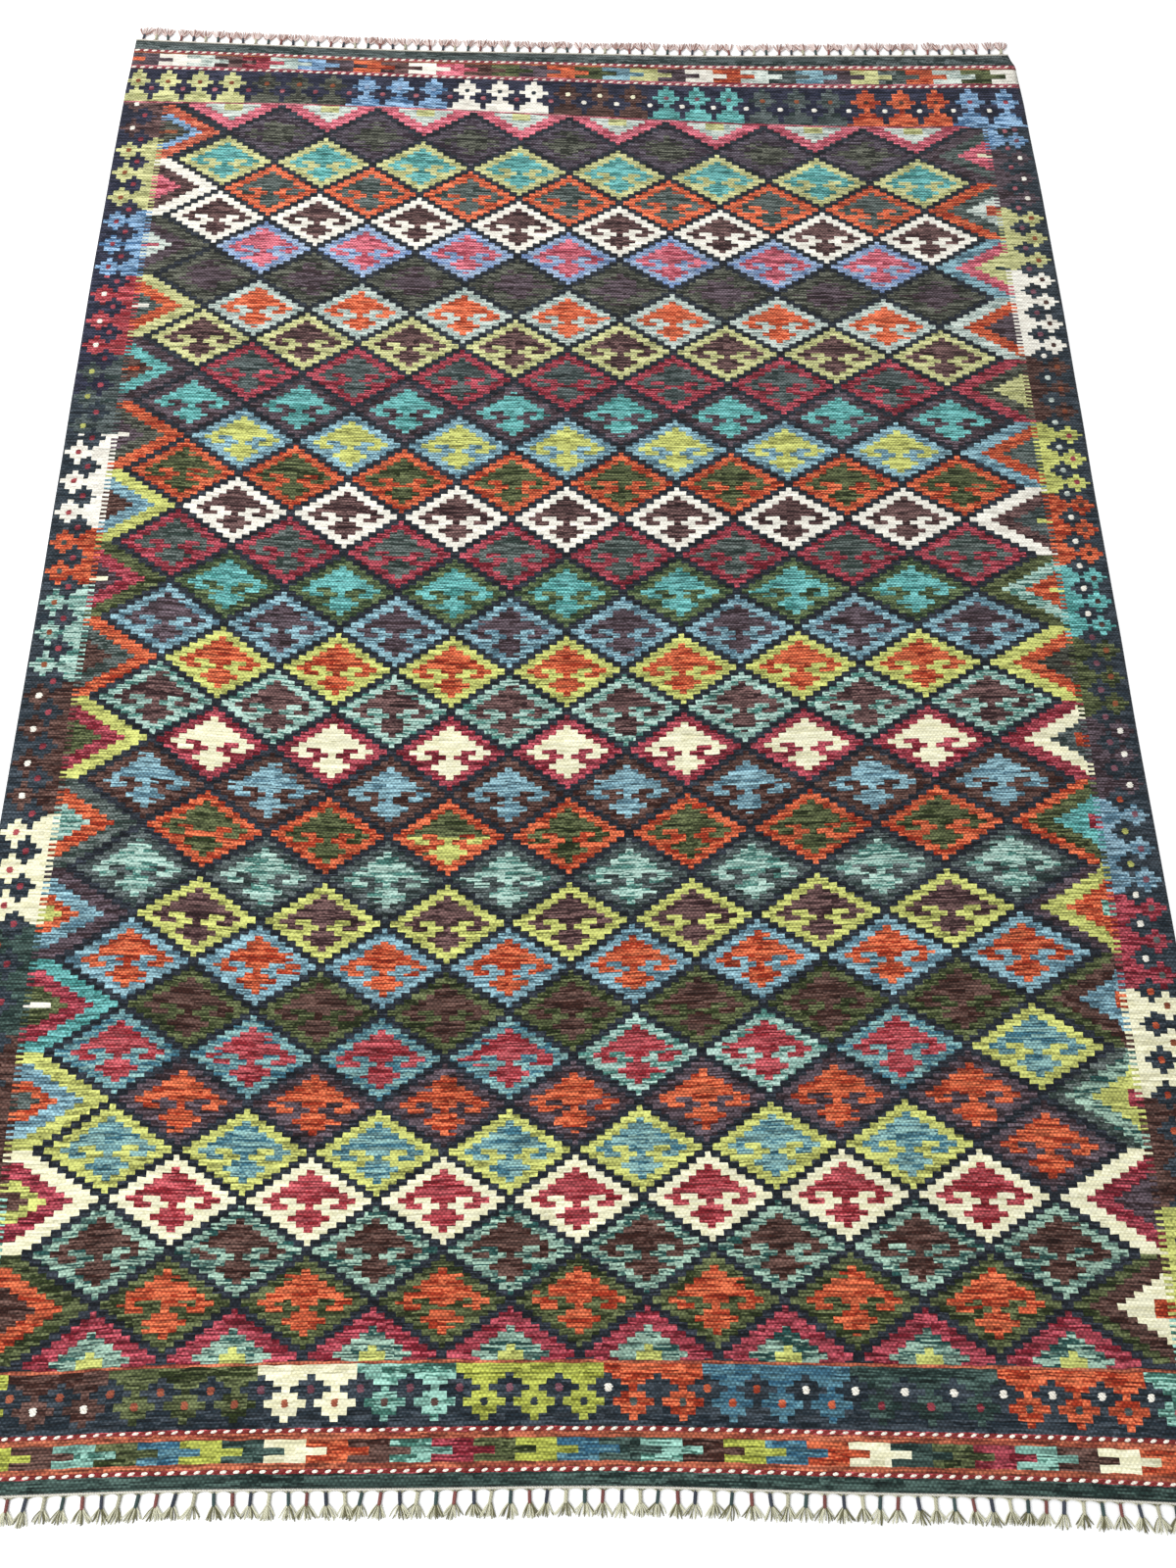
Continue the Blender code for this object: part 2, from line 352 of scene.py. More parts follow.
# ---------------------------------------------------------------- the chart: which yarn each cell is woven in
# Diamonds by row, from the far end: the yarn of the ring, and of the hooked figure inside it
DIAMONDS = (
    ("pink", "ice"), ("violet", "moss"), ("reed", "teal"), ("coral", "slate"), ("white", "aubergine"),
    ("sky", "pink"), ("moss", "purple"), ("mist", "coral"), ("reed", "aubergine"), ("crimson", "pine"),
    ("purple", "teal"), ("blue", "lime"), ("orange", "olive"), ("white", "aubergine"), ("crimson", "slate"),
    ("fern", "teal"), ("blue", "purple"), ("lime", "orange"), ("mint", "aubergine"), ("crimson", "cream"),
    ("brown", "blue"), ("orange", "olive"), ("pine", "mint"), ("lime", "aubergine"), ("blue", "orange"),
    ("olive", "brown"), ("denim", "red"), ("purple", "orange"), ("lime", "denim"), ("cream", "red"),
    ("sea", "brown"), ("olive", "orange"), ("crimson", "sea"),
)
RING_REACH, PLAIN_REACH = 7, 4  # columns from a diamond's middle to its tip, and to the tip of a plain figure
PLAIN_ROWS = (1, 6)  # rows whose figure is a plain diamond with ragged sides
# The yarns whose edges the weaver kept sharp; the rest stray by a cell here and there. The chance of that:
CRISP = ("white", "cream", "lime", "reed")
RAGGED, STRAY_CHANCE = 0.45, 0.03
# (column, row from the far end): the odd ones that the weaver dyed otherwise
ODD_DIAMONDS = {(14, 26): ("lime", "denim"), (14, 28): ("purple", "orange"), (10, 26): ("mint", "red"),
                (8, 26): ("mint", "red")}
HALF_LIME = (5, 21)  # the one whose figure ends in lime, where the weaver's orange ran out
# The hooked figure by double row, from its top: the half widths at which it is filled and has its hooks
FIGURE = {3: ((0, 0),), 4: ((0, 1),), 5: ((0, 2),), 6: ((0, 3),), 7: ((0, 4),), 8: ((0, 1), (4, 5)),
          9: ((0, 0), (3, 4)), 10: ((0, 1),), 11: ((0, 2),), 12: ((0, 1),), 13: ((0, 0),)}
FIGURE_MIDDLE = 8  # its double row at the diamond's middle
# The half diamonds down each side, from the far end: outer, middle and inner stripe, and the dash on the
# teeth
CHEVRONS = {
    -1: (("clay", "azure", "moss", "rust"), ("white", "aubergine", "pink", "crimson"),
         ("moss", "purple", "ice", "pink"), ("reed", "orange", "slate", "white"),
         ("purple", "teal", "brown", "orange"), ("orange", "moss", "purple", "white"),
         ("lime", "blue", "brown", "brown"), ("olive", "crimson", "purple", "cream"),
         ("orange", "slate", "brown", "brown"), ("lime", "crimson", "olive", "olive"),
         ("slate", "orange", "mint", "mint"), ("purple", "blue", "orange", "lime"),
         ("teal", "crimson", "olive", "white"), ("lime", "blue", "orange", "slate"),
         ("cream", "crimson", "lime", "brown"), ("olive", "orange", "brown", "brown")),
    1: (("purple", "slate", "pink", "cream"), ("orange", "slate", "ice", "clay"),
        ("blue", "pink", "reed", "pine"), ("mist", "orange", "purple", "purple"),
        ("crimson", "moss", "reed", "reed"), ("blue", "orange", "slate", "slate"),
        ("white", "aubergine", "pine", "lime"), ("olive", "mint", "orange", "lime"),
        ("lime", "orange", "moss", "brown"), ("crimson", "cream", "pine", "orange"),
        ("orange", "olive", "teal", "crimson"), ("purple", "lime", "orange", "aqua"),
        ("olive", "brown", "blue", "orange"), ("slate", "sea", "lime", "crimson"),
        ("cream", "crimson", "purple", "purple"), ("olive", "brown", "cream", "orange")),
}
OUTER_DEPTH, BETWEEN_DEPTH, INNER_DEPTH = 7, 4, 1  # how deep the stripes reach, in columns
# The steps down each side whose stripes inside the outer one are a column narrower or wider
ODD_STRIPES = {(-1, 0): -1, (1, 10): 1, (1, 11): 1, (1, 12): 1, (1, 13): 1, (1, 15): 1}
# The column, inwards from the half diamond's middle, where each side's dash ends
DASH_END = {-1: -1, 1: -2}
# The steps whose dash widens to three double rows
WIDE_HEARTS = {(1, 1)} | {(side, step) for side in (-1, 1) for step in range(9, 16)} - {(-1, 12)}
# The side borders, by side:
#   blocks     where each block of colour ends (loom mm along), its yarn, and the dots in its flowers
#   flowers    loom mm along to the middle of each flower
#   navy_dots  how far along the dots in the navy flowers keep each yarn
#   pitch      the usual distance between flowers (mm)
SIDES = {
    -1: {
        "blocks": ((297, "aubergine", "white"), (500, "reed", "rust"), (680, "azure", "crimson"),
                   (885, "red", "white"), (1073, "pine", "lime"), (1287, "white", "red"),
                   (1410, "orange", "slate"), (1612, "mint", "rust"), (1865, "brown", "white"),
                   (2060, "cream", "red"), (2245, "bottle", "orange"), (2490, "brown", "cream"),
                   (9999, "aqua", "red")),
        "flowers": (197, 269, 335, 399, 467, 533, 598, 660, 731, 797, 861, 926, 988, 1055, 1118, 1186, 1253,
                    1320, 1385, 1450, 1512, 1577, 1640, 1703, 1770, 1830, 1898, 1963, 2027, 2095, 2155, 2220,
                    2286, 2352, 2418, 2484, 2550, 2616, 2682),
        "navy_dots": ((9999, "crimson"),),
        "pitch": 66.5,
    },
    1: {
        "blocks": ((289, "azure", "plum"), (458, "purple", "white"), (628, "reed", "rust"),
                   (853, "white", "brown"), (1016, "brown", "rust"), (1183, "lime", "crimson"),
                   (1341, "orange", "brown"), (1494, "teal", "brown"), (1656, "olive", "rust"),
                   (1814, "purple", "white"), (1986, "steel", "plum"), (2151, "crimson", "slate"),
                   (2325, "cream", "rust"), (2490, "brown", "orange"), (2650, "lime", "red"),
                   (9999, "aqua", "red")),
        "flowers": (205, 262, 313, 372, 430, 487, 542, 600, 655, 712, 770, 825, 880, 932, 988, 1045, 1100,
                    1157, 1210, 1262, 1315, 1368, 1418, 1470, 1522, 1577, 1630, 1683, 1730, 1785, 1843, 1903,
                    1960, 2012, 2068, 2125, 2178, 2237, 2293, 2349, 2404, 2460, 2515, 2570, 2625, 2680),
        "navy_dots": ((480, "rose"), (820, "plum"), (880, "white"), (1200, "ice"), (1480, "white"),
                      (1780, "plum"), (1840, "orange"), (1950, "lime"), (2130, "white"), (9999, "orange")),
        "pitch": 55.0,
    },
}
# A border's columns from its selvedge: the middle of its flowers, the last on navy, the middle of the navy
# flowers, and the one whose every second weft is the field's, as teeth
FLOWER_COLUMN, LAST_ON_NAVY, NAVY_COLUMN, TEETH = 3, 4, 5, 9
# How far from its middle a border's flower is five, three and one column wide, as shares of the pitch
FIVE_WIDE, THREE_WIDE, ONE_WIDE = 0.068, 0.23, 0.40
FAR_BORDER_BEGINS, FAR_EDGE = -12, -4  # where the last row before the field turns to the right border's yarns
INK_ROWS = 170  # the rows of the field's left border that are woven in the far end's lot of navy
RUN_CHANCE, TONE_CHANCE = 0.22, 0.15  # that a streak, or a tone of it, ends at a cell
TONE_SPREAD = 0.20  # how much the tone of two runs of weft differs, at most
SHADE_BLEND = 0.30  # the share of draws that give a mixture of two shades


def yarn_at(stops, places):
    """The yarn at each place, as a number, where stops are (where it ends, its name, ...)."""
    which = np.searchsorted([stop[0] for stop in stops], places)
    return np.array([YARN[stop[1]] for stop in stops])[which]


def pairs_from(rows):
    """Double rows of weft from a middle, for rows counted from it."""
    return (rows + 1) // 2


def diamond_stencil():
    """Rows -17..16 by columns -7..7 about a diamond's middle: 1 in its ring, 2 in its figure, 0 outside.

    Rows of weft go in pairs, rho, about the middle; a cell is inside where |column| + |rho| is at most 7."""
    rho = pairs_from(np.arange(-HALF_ALONG, HALF_ALONG))[:, None]
    reach = np.abs(np.arange(-RING_REACH, RING_REACH + 1))[None, :]
    stencil = ((reach + np.abs(rho)) <= RING_REACH).astype(int)
    for step, spans in FIGURE.items():
        for low, high in spans:
            stencil[(rho + FIGURE_MIDDLE == step) & (reach >= low) & (reach <= high)] = 2
    return stencil


def frayed(stencil, chance, dice):
    """The figure's cells, where by chance a row of weft ends one cell short, or runs one cell over."""
    figure, ring = stencil == 2, stencil == 1
    beside = np.zeros_like(figure)
    beside[:, 1:] |= figure[:, :-1]
    beside[:, :-1] |= figure[:, 1:]
    bare = np.zeros_like(figure)
    bare[:, 1:] |= ring[:, :-1]
    bare[:, :-1] |= ring[:, 1:]
    draw = dice.random(figure.shape)
    return (figure & ~(bare & (draw < chance))) | (ring & beside & (draw > 1 - 0.8 * chance))


def diamond_columns(k):
    """The columns of the chart that diamond k takes."""
    middle = FIRST_MIDDLE + HALF_ACROSS * k
    return slice(middle - RING_REACH, middle + RING_REACH + 1)


def paint_diamonds(chart):
    """Every whole diamond, and the halves that the end bands cut. A half one has a plain figure, where
    |column| + |rho| is at most 4, with a small heart in it."""
    stencil = diamond_stencil()
    reach = np.abs(np.arange(-RING_REACH, RING_REACH + 1))[None, :]
    dice = np.random.default_rng(19)
    last = len(DIAMONDS) - 1
    for n, (ring, figure) in enumerate(DIAMONDS):
        middle = HALF_ALONG * n - FIELD_FIRST
        low, high = max(0, middle - HALF_ALONG), min(len(chart), middle + HALF_ALONG)
        part = stencil[low - middle + HALF_ALONG:high - middle + HALF_ALONG]
        inside = part > 0
        rho = pairs_from(np.arange(low, high) - middle)[:, None]
        if n in PLAIN_ROWS:
            part = np.where(inside & (reach + np.abs(rho) <= PLAIN_REACH), 2, inside)
        for k in range(n % 2, DIAMONDS_ACROSS, 2):
            own_ring, own_figure = ODD_DIAMONDS.get((k, n), (ring, figure))
            patch = chart[low:high, diamond_columns(k)]
            patch[inside] = YARN[own_ring]
            if n in (0, last):
                depth = reach + (np.abs(rho) if n else np.maximum(rho, 0))
                patch[(depth <= PLAIN_REACH) & inside] = YARN[own_figure]
                if n:
                    patch[(reach <= (rho >= 0)) & (rho >= -1)] = YARN["lime"]
                else:
                    patch[:4, RING_REACH - 1:RING_REACH + 2] = YARN["reed"]
                continue
            sharp = own_ring in CRISP or own_figure in CRISP
            loose = RAGGED if n in PLAIN_ROWS else 0.0 if sharp else STRAY_CHANCE
            patch[frayed(part, loose, dice)] = YARN[own_figure]
    k, n = HALF_LIME
    middle = HALF_ALONG * n - FIELD_FIRST
    chart[middle:middle + HALF_ALONG, diamond_columns(k)][stencil[HALF_ALONG:] == 2] = YARN["lime"]


def paint_chevrons(chart):
    """The half diamonds at the field's two sides, as nested stripes. A cell's depth is its columns inwards
    from the half diamond's middle, plus |rho|: stripes reach to depths of 7, 4 and 1. On the teeth next to
    the border lies a dash, one double row high, or a heart, where it widens to three."""
    row = np.arange(len(chart)) + FIELD_FIRST
    column = np.arange(FIELD_COLUMNS)
    first, last = FIRST_MIDDLE - HALF_ACROSS, FIRST_MIDDLE + HALF_ACROSS * DIAMONDS_ACROSS
    in_field = (column >= BORDER) & (column < FIELD_COLUMNS - BORDER)
    for side, chevrons in CHEVRONS.items():
        inward = (column - first if side < 0 else last - column)[None, :]
        across = (inward >= -HALF_ACROSS // 2) & (inward < HALF_ACROSS) & in_field
        for step, (outer, between, inner, dash) in enumerate(chevrons):
            middle = HALF_ALONG * (2 * step + 1)
            rho = pairs_from(row - middle)[:, None]
            depth = inward + np.abs(rho)
            odd = ODD_STRIPES.get((side, step), 0)
            heart = (rho == 0) & (inward <= DASH_END[side])
            if (side, step) in WIDE_HEARTS:
                heart |= (np.abs(rho) <= 1) & (inward <= -2)
            own = across & (np.abs(row - middle + 0.5)[:, None] < HALF_ALONG)
            chart[own & (depth <= OUTER_DEPTH + min(odd, 0))] = YARN[outer]
            chart[own & (depth <= BETWEEN_DEPTH + odd)] = YARN[between]
            chart[own & (depth <= INNER_DEPTH + max(odd, 0))] = YARN[inner]
            chart[own & heart] = YARN[dash]


def paint_side(chart, side, along):
    """One side border: coloured flowers on navy next to the selvedge, and navy flowers on the colour next
    to the field. A flower is five columns wide at its middle, then three, then one. Returns its dots."""
    style = SIDES[side]
    pitch, flowers = style["pitch"], np.array(style["flowers"], float)
    wool = yarn_at(style["blocks"], along)
    dots = yarn_at([(stop, dot) for stop, name, dot in style["blocks"]], along)
    navy_dots = yarn_at(style["navy_dots"], along)
    halfway = (flowers[1:] + flowers[:-1]) / 2
    between = np.concatenate([[flowers[0] - pitch / 2], halfway, [flowers[-1] + pitch / 2]])
    column = np.arange(BORDER)

    def reach(middles):
        """How many columns a flower reaches from its middle, at each row of weft."""
        away = np.abs(along[:, None] - middles[None, :]).min(1) / pitch
        return np.select([away < FIVE_WIDE, away < THREE_WIDE, away < ONE_WIDE], [2, 1, 0], -1)

    def dotted(middles, in_column, yarns):
        """A dot on the two rows of weft nearest to each middle."""
        column_there = in_column if side < 0 else FIELD_COLUMNS - 1 - in_column
        at = np.sort(np.abs(along[:, None] - middles[None, :]).argsort(0)[:2], axis=0)
        return [(first, last + 1, column_there, yarns[first]) for first, last in at.T if last == first + 1]

    flower = np.abs(column - FLOWER_COLUMN)[None, :] <= reach(flowers)[:, None]
    navy = np.abs(column - NAVY_COLUMN)[None, :] <= reach(between)[:, None]
    coloured = np.where((column <= LAST_ON_NAVY)[None, :], flower, ~navy)
    part = np.where(coloured, wool[:, None], YARN["navy"])
    part[:, 0] = YARN["navy"]
    inwards = chart if side < 0 else chart[:, ::-1]
    part[::2, TEETH] = inwards[::2, BORDER]
    inwards[:, :BORDER] = part
    return dotted(flowers, FLOWER_COLUMN, dots) + dotted(between[1:], NAVY_COLUMN, navy_dots)


def paint_field(along_left, along_right):
    """The field's chart, with its side borders: 154 columns by its rows of weft, as yarn numbers; and the
    dots wrapped in its flowers, each as (first row, row after its last, column, yarn)."""
    chart = np.full((NEAR - FAR, FIELD_COLUMNS), YARN["navy"])
    paint_diamonds(chart)
    paint_chevrons(chart)
    return chart, paint_side(chart, -1, along_left) + paint_side(chart, 1, along_right)


def paint_band(end, across_middle):
    """An end band's chart: 162 columns by its rows, as yarn numbers; and the dots wrapped in its flowers."""
    band = BANDS[end]
    chart = np.full((len(band["rows"]), COLUMNS), YARN["navy"])
    column = np.arange(COLUMNS)
    for line, name in band["plain_rows"].items():
        chart[line] = YARN[name]
    if end > 0:
        # the last row stops short of the right border, whose first flower begins there
        chart[-1, FAR_BORDER_BEGINS:] = YARN["azure"]
        chart[-1, FAR_EDGE:] = YARN["navy"]
    # flowers
    half_pitch = FLOWER_PITCH // 2
    wools = [YARN[wool] for count, wool, dot in band["flower_yarns"] for _ in range(count)]
    dots = [YARN[dot] for count, wool, dot in band["flower_yarns"] for _ in range(count)]
    place = column - band["first_flower"] + half_pitch
    own = np.clip(place // FLOWER_PITCH, 0, len(wools) - 1)
    wool, dot = np.array(wools)[own], np.array(dots)[own]
    away = np.abs(place % FLOWER_PITCH - half_pitch)
    navy_dot = yarn_at(band["navy_dots"], across_middle)
    marks = []
    for line, step in enumerate(band["steps"], band["first_step"]):
        inside = away <= FLOWER_REACH[step]
        chart[line, inside] = wool[inside]
        if step == NAVY_DOT_STEP:
            marks += [(line, line + 1, c, navy_dot[c]) for c in np.flatnonzero(away[:-1] == half_pitch)]
        if step == DOT_STEP:
            marks += [(line, line + 1, c, dot[c]) for c in np.flatnonzero(away == 0)]
    # blocks: the middle third of each runs half a block further on
    names = band["block_yarns"]
    half = np.searchsorted(half_block_columns(band), column, side="right")
    blocks = np.array([YARN[name] for name in names])
    outer = blocks[np.clip(half // 2, 0, len(names) - 1)]
    middle = blocks[np.clip((half - 1) // 2, 0, len(names) - 1)]
    if end > 0:
        middle[half == 0] = YARN["orange"]
    chart[list(band["block_rows"])] = outer, middle, outer
    return chart, marks


def streaks(chart, dice, chance):
    """A random number for each run of weft along a row. A run ends by chance, or where the yarn changes."""
    breaks = dice.random(chart.shape) < chance
    breaks[:, 1:] |= chart[:, 1:] != chart[:, :-1]
    run = np.cumsum(breaks, axis=1)
    draws = dice.random((chart.shape[0], chart.shape[1] + 1))
    return np.take_along_axis(draws, run, axis=1)


def one_or_other(share, draw):
    """0 or 1 for a draw between 0 and 1, 1 where it falls below the share, with a soft step between."""
    return np.clip((share - draw) / SHADE_BLEND + 0.5, 0, 1)


def dyed(chart, dice):
    """Two colours for every cell, from the two shades of its yarn: the one it shows, streaked along the weft,
    and the one it would streak to."""
    base, second, share = (np.array(part) for part in zip(
        *((linear(dye), linear(shade), streaked) for dye, shade, streaked in YARNS.values())))
    turn = one_or_other(share[chart], streaks(chart, dice, RUN_CHANCE))[..., None]
    tone = 1 + TONE_SPREAD * (streaks(chart, dice, TONE_CHANCE) - 0.5)[..., None]
    own = (base[chart] * (1 - turn) + second[chart] * turn) * tone
    other = (base[chart] * turn + second[chart] * (1 - turn)) * tone
    return own, other


# ---------------------------------------------------------------- meshes
def mesh_piece(name, vertices, faces, colours, others=None, uv=None, wefts=None):
    """An object from arrays: faces is a list of (n, corners) index arrays; colours are linear RGB per face,
    uv is per corner and wefts per vertex. The object sits at the origin, with its place in its mesh."""
    mesh = bpy.data.meshes.new(name)
    corners = np.concatenate([f.ravel() for f in faces])
    sizes = np.concatenate([np.full(len(f), f.shape[1]) for f in faces])
    mesh.vertices.add(len(vertices))
    mesh.vertices.foreach_set("co", np.asarray(vertices, np.float32).ravel())
    mesh.loops.add(len(corners))
    mesh.loops.foreach_set("vertex_index", corners.astype(np.int32))
    mesh.polygons.add(len(sizes))
    mesh.polygons.foreach_set("loop_start", np.concatenate([[0], np.cumsum(sizes)[:-1]]).astype(np.int32))
    mesh.update(calc_edges=True)
    mesh.polygons.foreach_set("use_smooth", np.full(len(sizes), True))
    for layer, values in (("yarn", colours), ("yarn_other", others)):
        if values is not None:
            rgba = np.ones((len(corners), 4), np.float32)
            rgba[:, :3] = np.repeat(values, sizes, axis=0)
            mesh.color_attributes.new(layer, "FLOAT_COLOR", "CORNER").data.foreach_set("color", rgba.ravel())
    if uv is not None:
        mesh.uv_layers.new(name="OFBake").data.foreach_set("uv", np.asarray(uv, np.float32).ravel())
    if wefts is not None:
        mesh.attributes.new("weft", "FLOAT", "POINT").data.foreach_set("value", np.asarray(wefts, np.float32))
    mesh.validate(clean_customdata=False)
    made = bpy.data.objects.new(name, mesh)
    bpy.context.scene.collection.objects.link(made)
    return made


def grid_quads(rows, columns):
    """The quads of a grid of (rows + 1) by (columns + 1) vertices, facing up where rows run towards -Y."""
    i, j = np.meshgrid(np.arange(rows), np.arange(columns), indexing="ij")
    a = i * (columns + 1) + j
    return np.stack([a, a + columns + 1, a + columns + 2, a + 1], -1).reshape(-1, 4)


def tubes(paths, radii, sides, colours):
    """Closed round tubes carried along paths: (n, points, 3) middles, (n, points) radii and n colours. A ring
    stands square to its path. Returns vertices, faces, each face's tube, and the colours."""
    count, points = paths.shape[:2]
    along = np.gradient(paths, axis=1)
    along /= np.linalg.norm(along, axis=2, keepdims=True)
    first = np.cross(np.array([0.0, 0.0, 1.0]), along)
    first /= np.linalg.norm(first, axis=2, keepdims=True)
    second = np.cross(along, first)
    turn = 2 * np.pi * np.arange(sides) / sides
    out = first[:, :, None] * np.cos(turn)[:, None] + second[:, :, None] * np.sin(turn)[:, None]
    rings = paths[:, :, None] + radii[:, :, None, None] * out
    t, p, s = np.meshgrid(np.arange(count), np.arange(points - 1), np.arange(sides), indexing="ij")
    a = (t * points + p) * sides + s
    b = (t * points + p) * sides + (s + 1) % sides
    walls = np.stack([a, b, b + sides, a + sides], -1).reshape(-1, 4)
    base = np.arange(count)[:, None] * points * sides
    starts = base + np.arange(sides)[::-1]
    tips = base + (points - 1) * sides + np.arange(sides)
    owner = np.concatenate([t.ravel(), np.arange(count), np.arange(count)])
    return rings.reshape(-1, 3), (walls, starts, tips), owner, colours


def joined(*parts):
    """Several sets of tubes as one set of vertices, faces and face colours."""
    vertices, quads, ends, quad_colours, end_colours = [], [], [], [], []
    start = 0
    for verts, (walls, first, last), owner, colours in parts:
        vertices.append(verts)
        quads.append(walls + start)
        quad_colours.append(colours[owner[:len(walls)]])
        for caps in (first, last):
            ends.append(caps + start)
            end_colours.append(colours[owner[-len(caps):]])
        start += len(verts)
    faces = [np.concatenate(quads)] + ends
    return np.concatenate(vertices), faces, np.concatenate(quad_colours + end_colours)


def pillows(name, x, y, z, half_long, half_wide, lean, rise, colours, cut=(6, 4)):
    """Small slanting stitches, each a pillow over a grid of u along it and v across it, both -1 to 1.

    Its half width is half_wide times the root of 1 - u*u, its height rise times that root times the root of
    1 - v*v, and it turns by lean. All the arguments are one value per stitch; cut is the grid's squares."""
    u_grid, v_grid = np.meshgrid(*(np.linspace(-1, 1, squares + 1) for squares in cut), indexing="ij")
    body = np.sqrt(np.maximum(1 - u_grid ** 2, 0.0))
    x, y, z, half_long, half_wide, lean, rise = (
        np.broadcast_to(a, np.shape(x))[:, None, None] for a in (x, y, z, half_long, half_wide, lean, rise))
    forth = half_long * u_grid
    aside = half_wide * v_grid * body
    place = np.stack([x + forth * np.cos(lean) - aside * np.sin(lean),
                      y + forth * np.sin(lean) + aside * np.cos(lean),
                      z + rise * body * np.sqrt(np.maximum(1 - v_grid ** 2, 0.0))], -1)
    rows, columns = u_grid.shape
    cell = grid_quads(rows - 1, columns - 1)[:, ::-1]
    starts = np.arange(len(x)) * rows * columns
    quads = (starts[:, None, None] + cell[None]).reshape(-1, 4)
    index = np.arange(rows * columns).reshape(rows, columns)
    rim = np.concatenate([index[:, 0], index[-1, 1:], index[-2::-1, -1], index[0, -2:0:-1]])
    bases = starts[:, None] + rim[None, ::-1]
    return mesh_piece(name, place.reshape(-1, 3), [quads, bases],
                      np.concatenate([np.repeat(colours, len(cell), axis=0), colours]))


# ---------------------------------------------------------------- the cloth
SWELL, THIN = 2.0, 1.0  # mm by which the field's navy lines are widened across, and narrowed along, at a side
STRAY = 0.8  # mm that a vertex strays to any side, at most
EDGE_HEIGHT, TOP_HEIGHT = 1.5, 3.0  # mm above the floor, of the cloth's edge and of its top
LEVEL_LINES = 8  # from the edge inwards, the lines over which the waves come to their full height
FIELD_WEFTS = 2  # to a row of the field
# The square UV map: where the top, the edges and the underside lie up it, and how high each is. The top fills
# nearly all of it. Then where they begin across it, and how wide they are
UV_PARTS = ((0.07, 0.925), (0.055, 0.012), (0.004, 0.048))
UV_LEFT, UV_WIDE = 0.003, 0.994
UV_REACH = (1.02, 1.46)  # metres from the rug's middle to the map's sides


def navy_swell(chart):
    """How far (mm) the navy lines swell across the rug, and thin along it, at each vertex of the weave.

    A vertex moves SWELL away from the side, left or right, that has more navy cells round it, and THIN
    towards the side, far or near, that has more: so the lattice's steps run together in one line."""
    navy = np.zeros((ROWS + 1, COLUMNS + 1, 2, 2))
    is_navy = np.isin(chart, [YARN["navy"], YARN["ink"], YARN["night"]])
    navy[1:, 1:, 0, 0] = is_navy
    navy[1:, :-1, 0, 1] = is_navy
    navy[:-1, 1:, 1, 0] = is_navy
    navy[:-1, :-1, 1, 1] = is_navy
    to_right = np.sign(navy[..., 0].sum(-1) - navy[..., 1].sum(-1))
    to_near = np.sign(navy[..., 0, :].sum(-1) - navy[..., 1, :].sum(-1))
    in_field = np.zeros((ROWS + 1, COLUMNS + 1))
    in_field[FAR:NEAR + 1, BORDER + 2:-BORDER - 2] = 1
    return SWELL * to_right * in_field, -THIN * to_near * in_field


def woven_chart(across, along):
    """The whole chart, ROWS by COLUMNS yarn numbers, and every wrapped dot."""
    # how far along the middle of each row lies; a border reads it at a line beside its flowers' middles
    middle = (along[FAR:NEAR] + along[FAR + 1:NEAR + 1]) / 2
    field, dots = paint_field(middle[:, LAST_ON_NAVY], middle[:, -LAST_ON_NAVY])
    column_of = np.searchsorted(FIELD_COLUMN, np.arange(FIELD_COLUMNS))
    dots = [(first + FAR, last + FAR, column_of[c], yarn) for first, last, c, yarn in dots]
    charts = {}
    for end, start in ((1, 0), (-1, NEAR)):
        line = across[start + BANDS[end]["dot_line"]]
        charts[end], marks = paint_band(end, (line[:-1] + line[1:]) / 2)
        dots += [(first + start, last + start, c, yarn) for first, last, c, yarn in marks]
    chart = np.vstack([charts[1], field[:, FIELD_COLUMN], charts[-1]])
    # the navy came in three lots: one for the field's lines, one for the far end with the left border after
    # it, and one for the rest
    navy = chart == YARN["navy"]
    row, column = np.arange(ROWS)[:, None], np.arange(COLUMNS)[None, :]
    in_lattice = (row >= FAR) & (row < NEAR) & (column >= BORDER) & (column < COLUMNS - BORDER)
    chart[navy & ((row < FAR) | ((column < BORDER) & (row < FAR + INK_ROWS)))] = YARN["ink"]
    chart[navy & in_lattice] = YARN["night"]
    return chart, dots


def slow_waves(x, y):
    """How far (mm) the top lies off level: two products of sines, 0.45 and 0.30 high, 0.5 to 1.5 m long."""
    return (0.45 * np.sin(5.1 * x + 2.3 * y + 1.0) * np.sin(3.7 * y - 1.9 * x)
            + 0.30 * np.sin(11.0 * x - 7.0 * y) * np.cos(9.0 * y + 0.5))


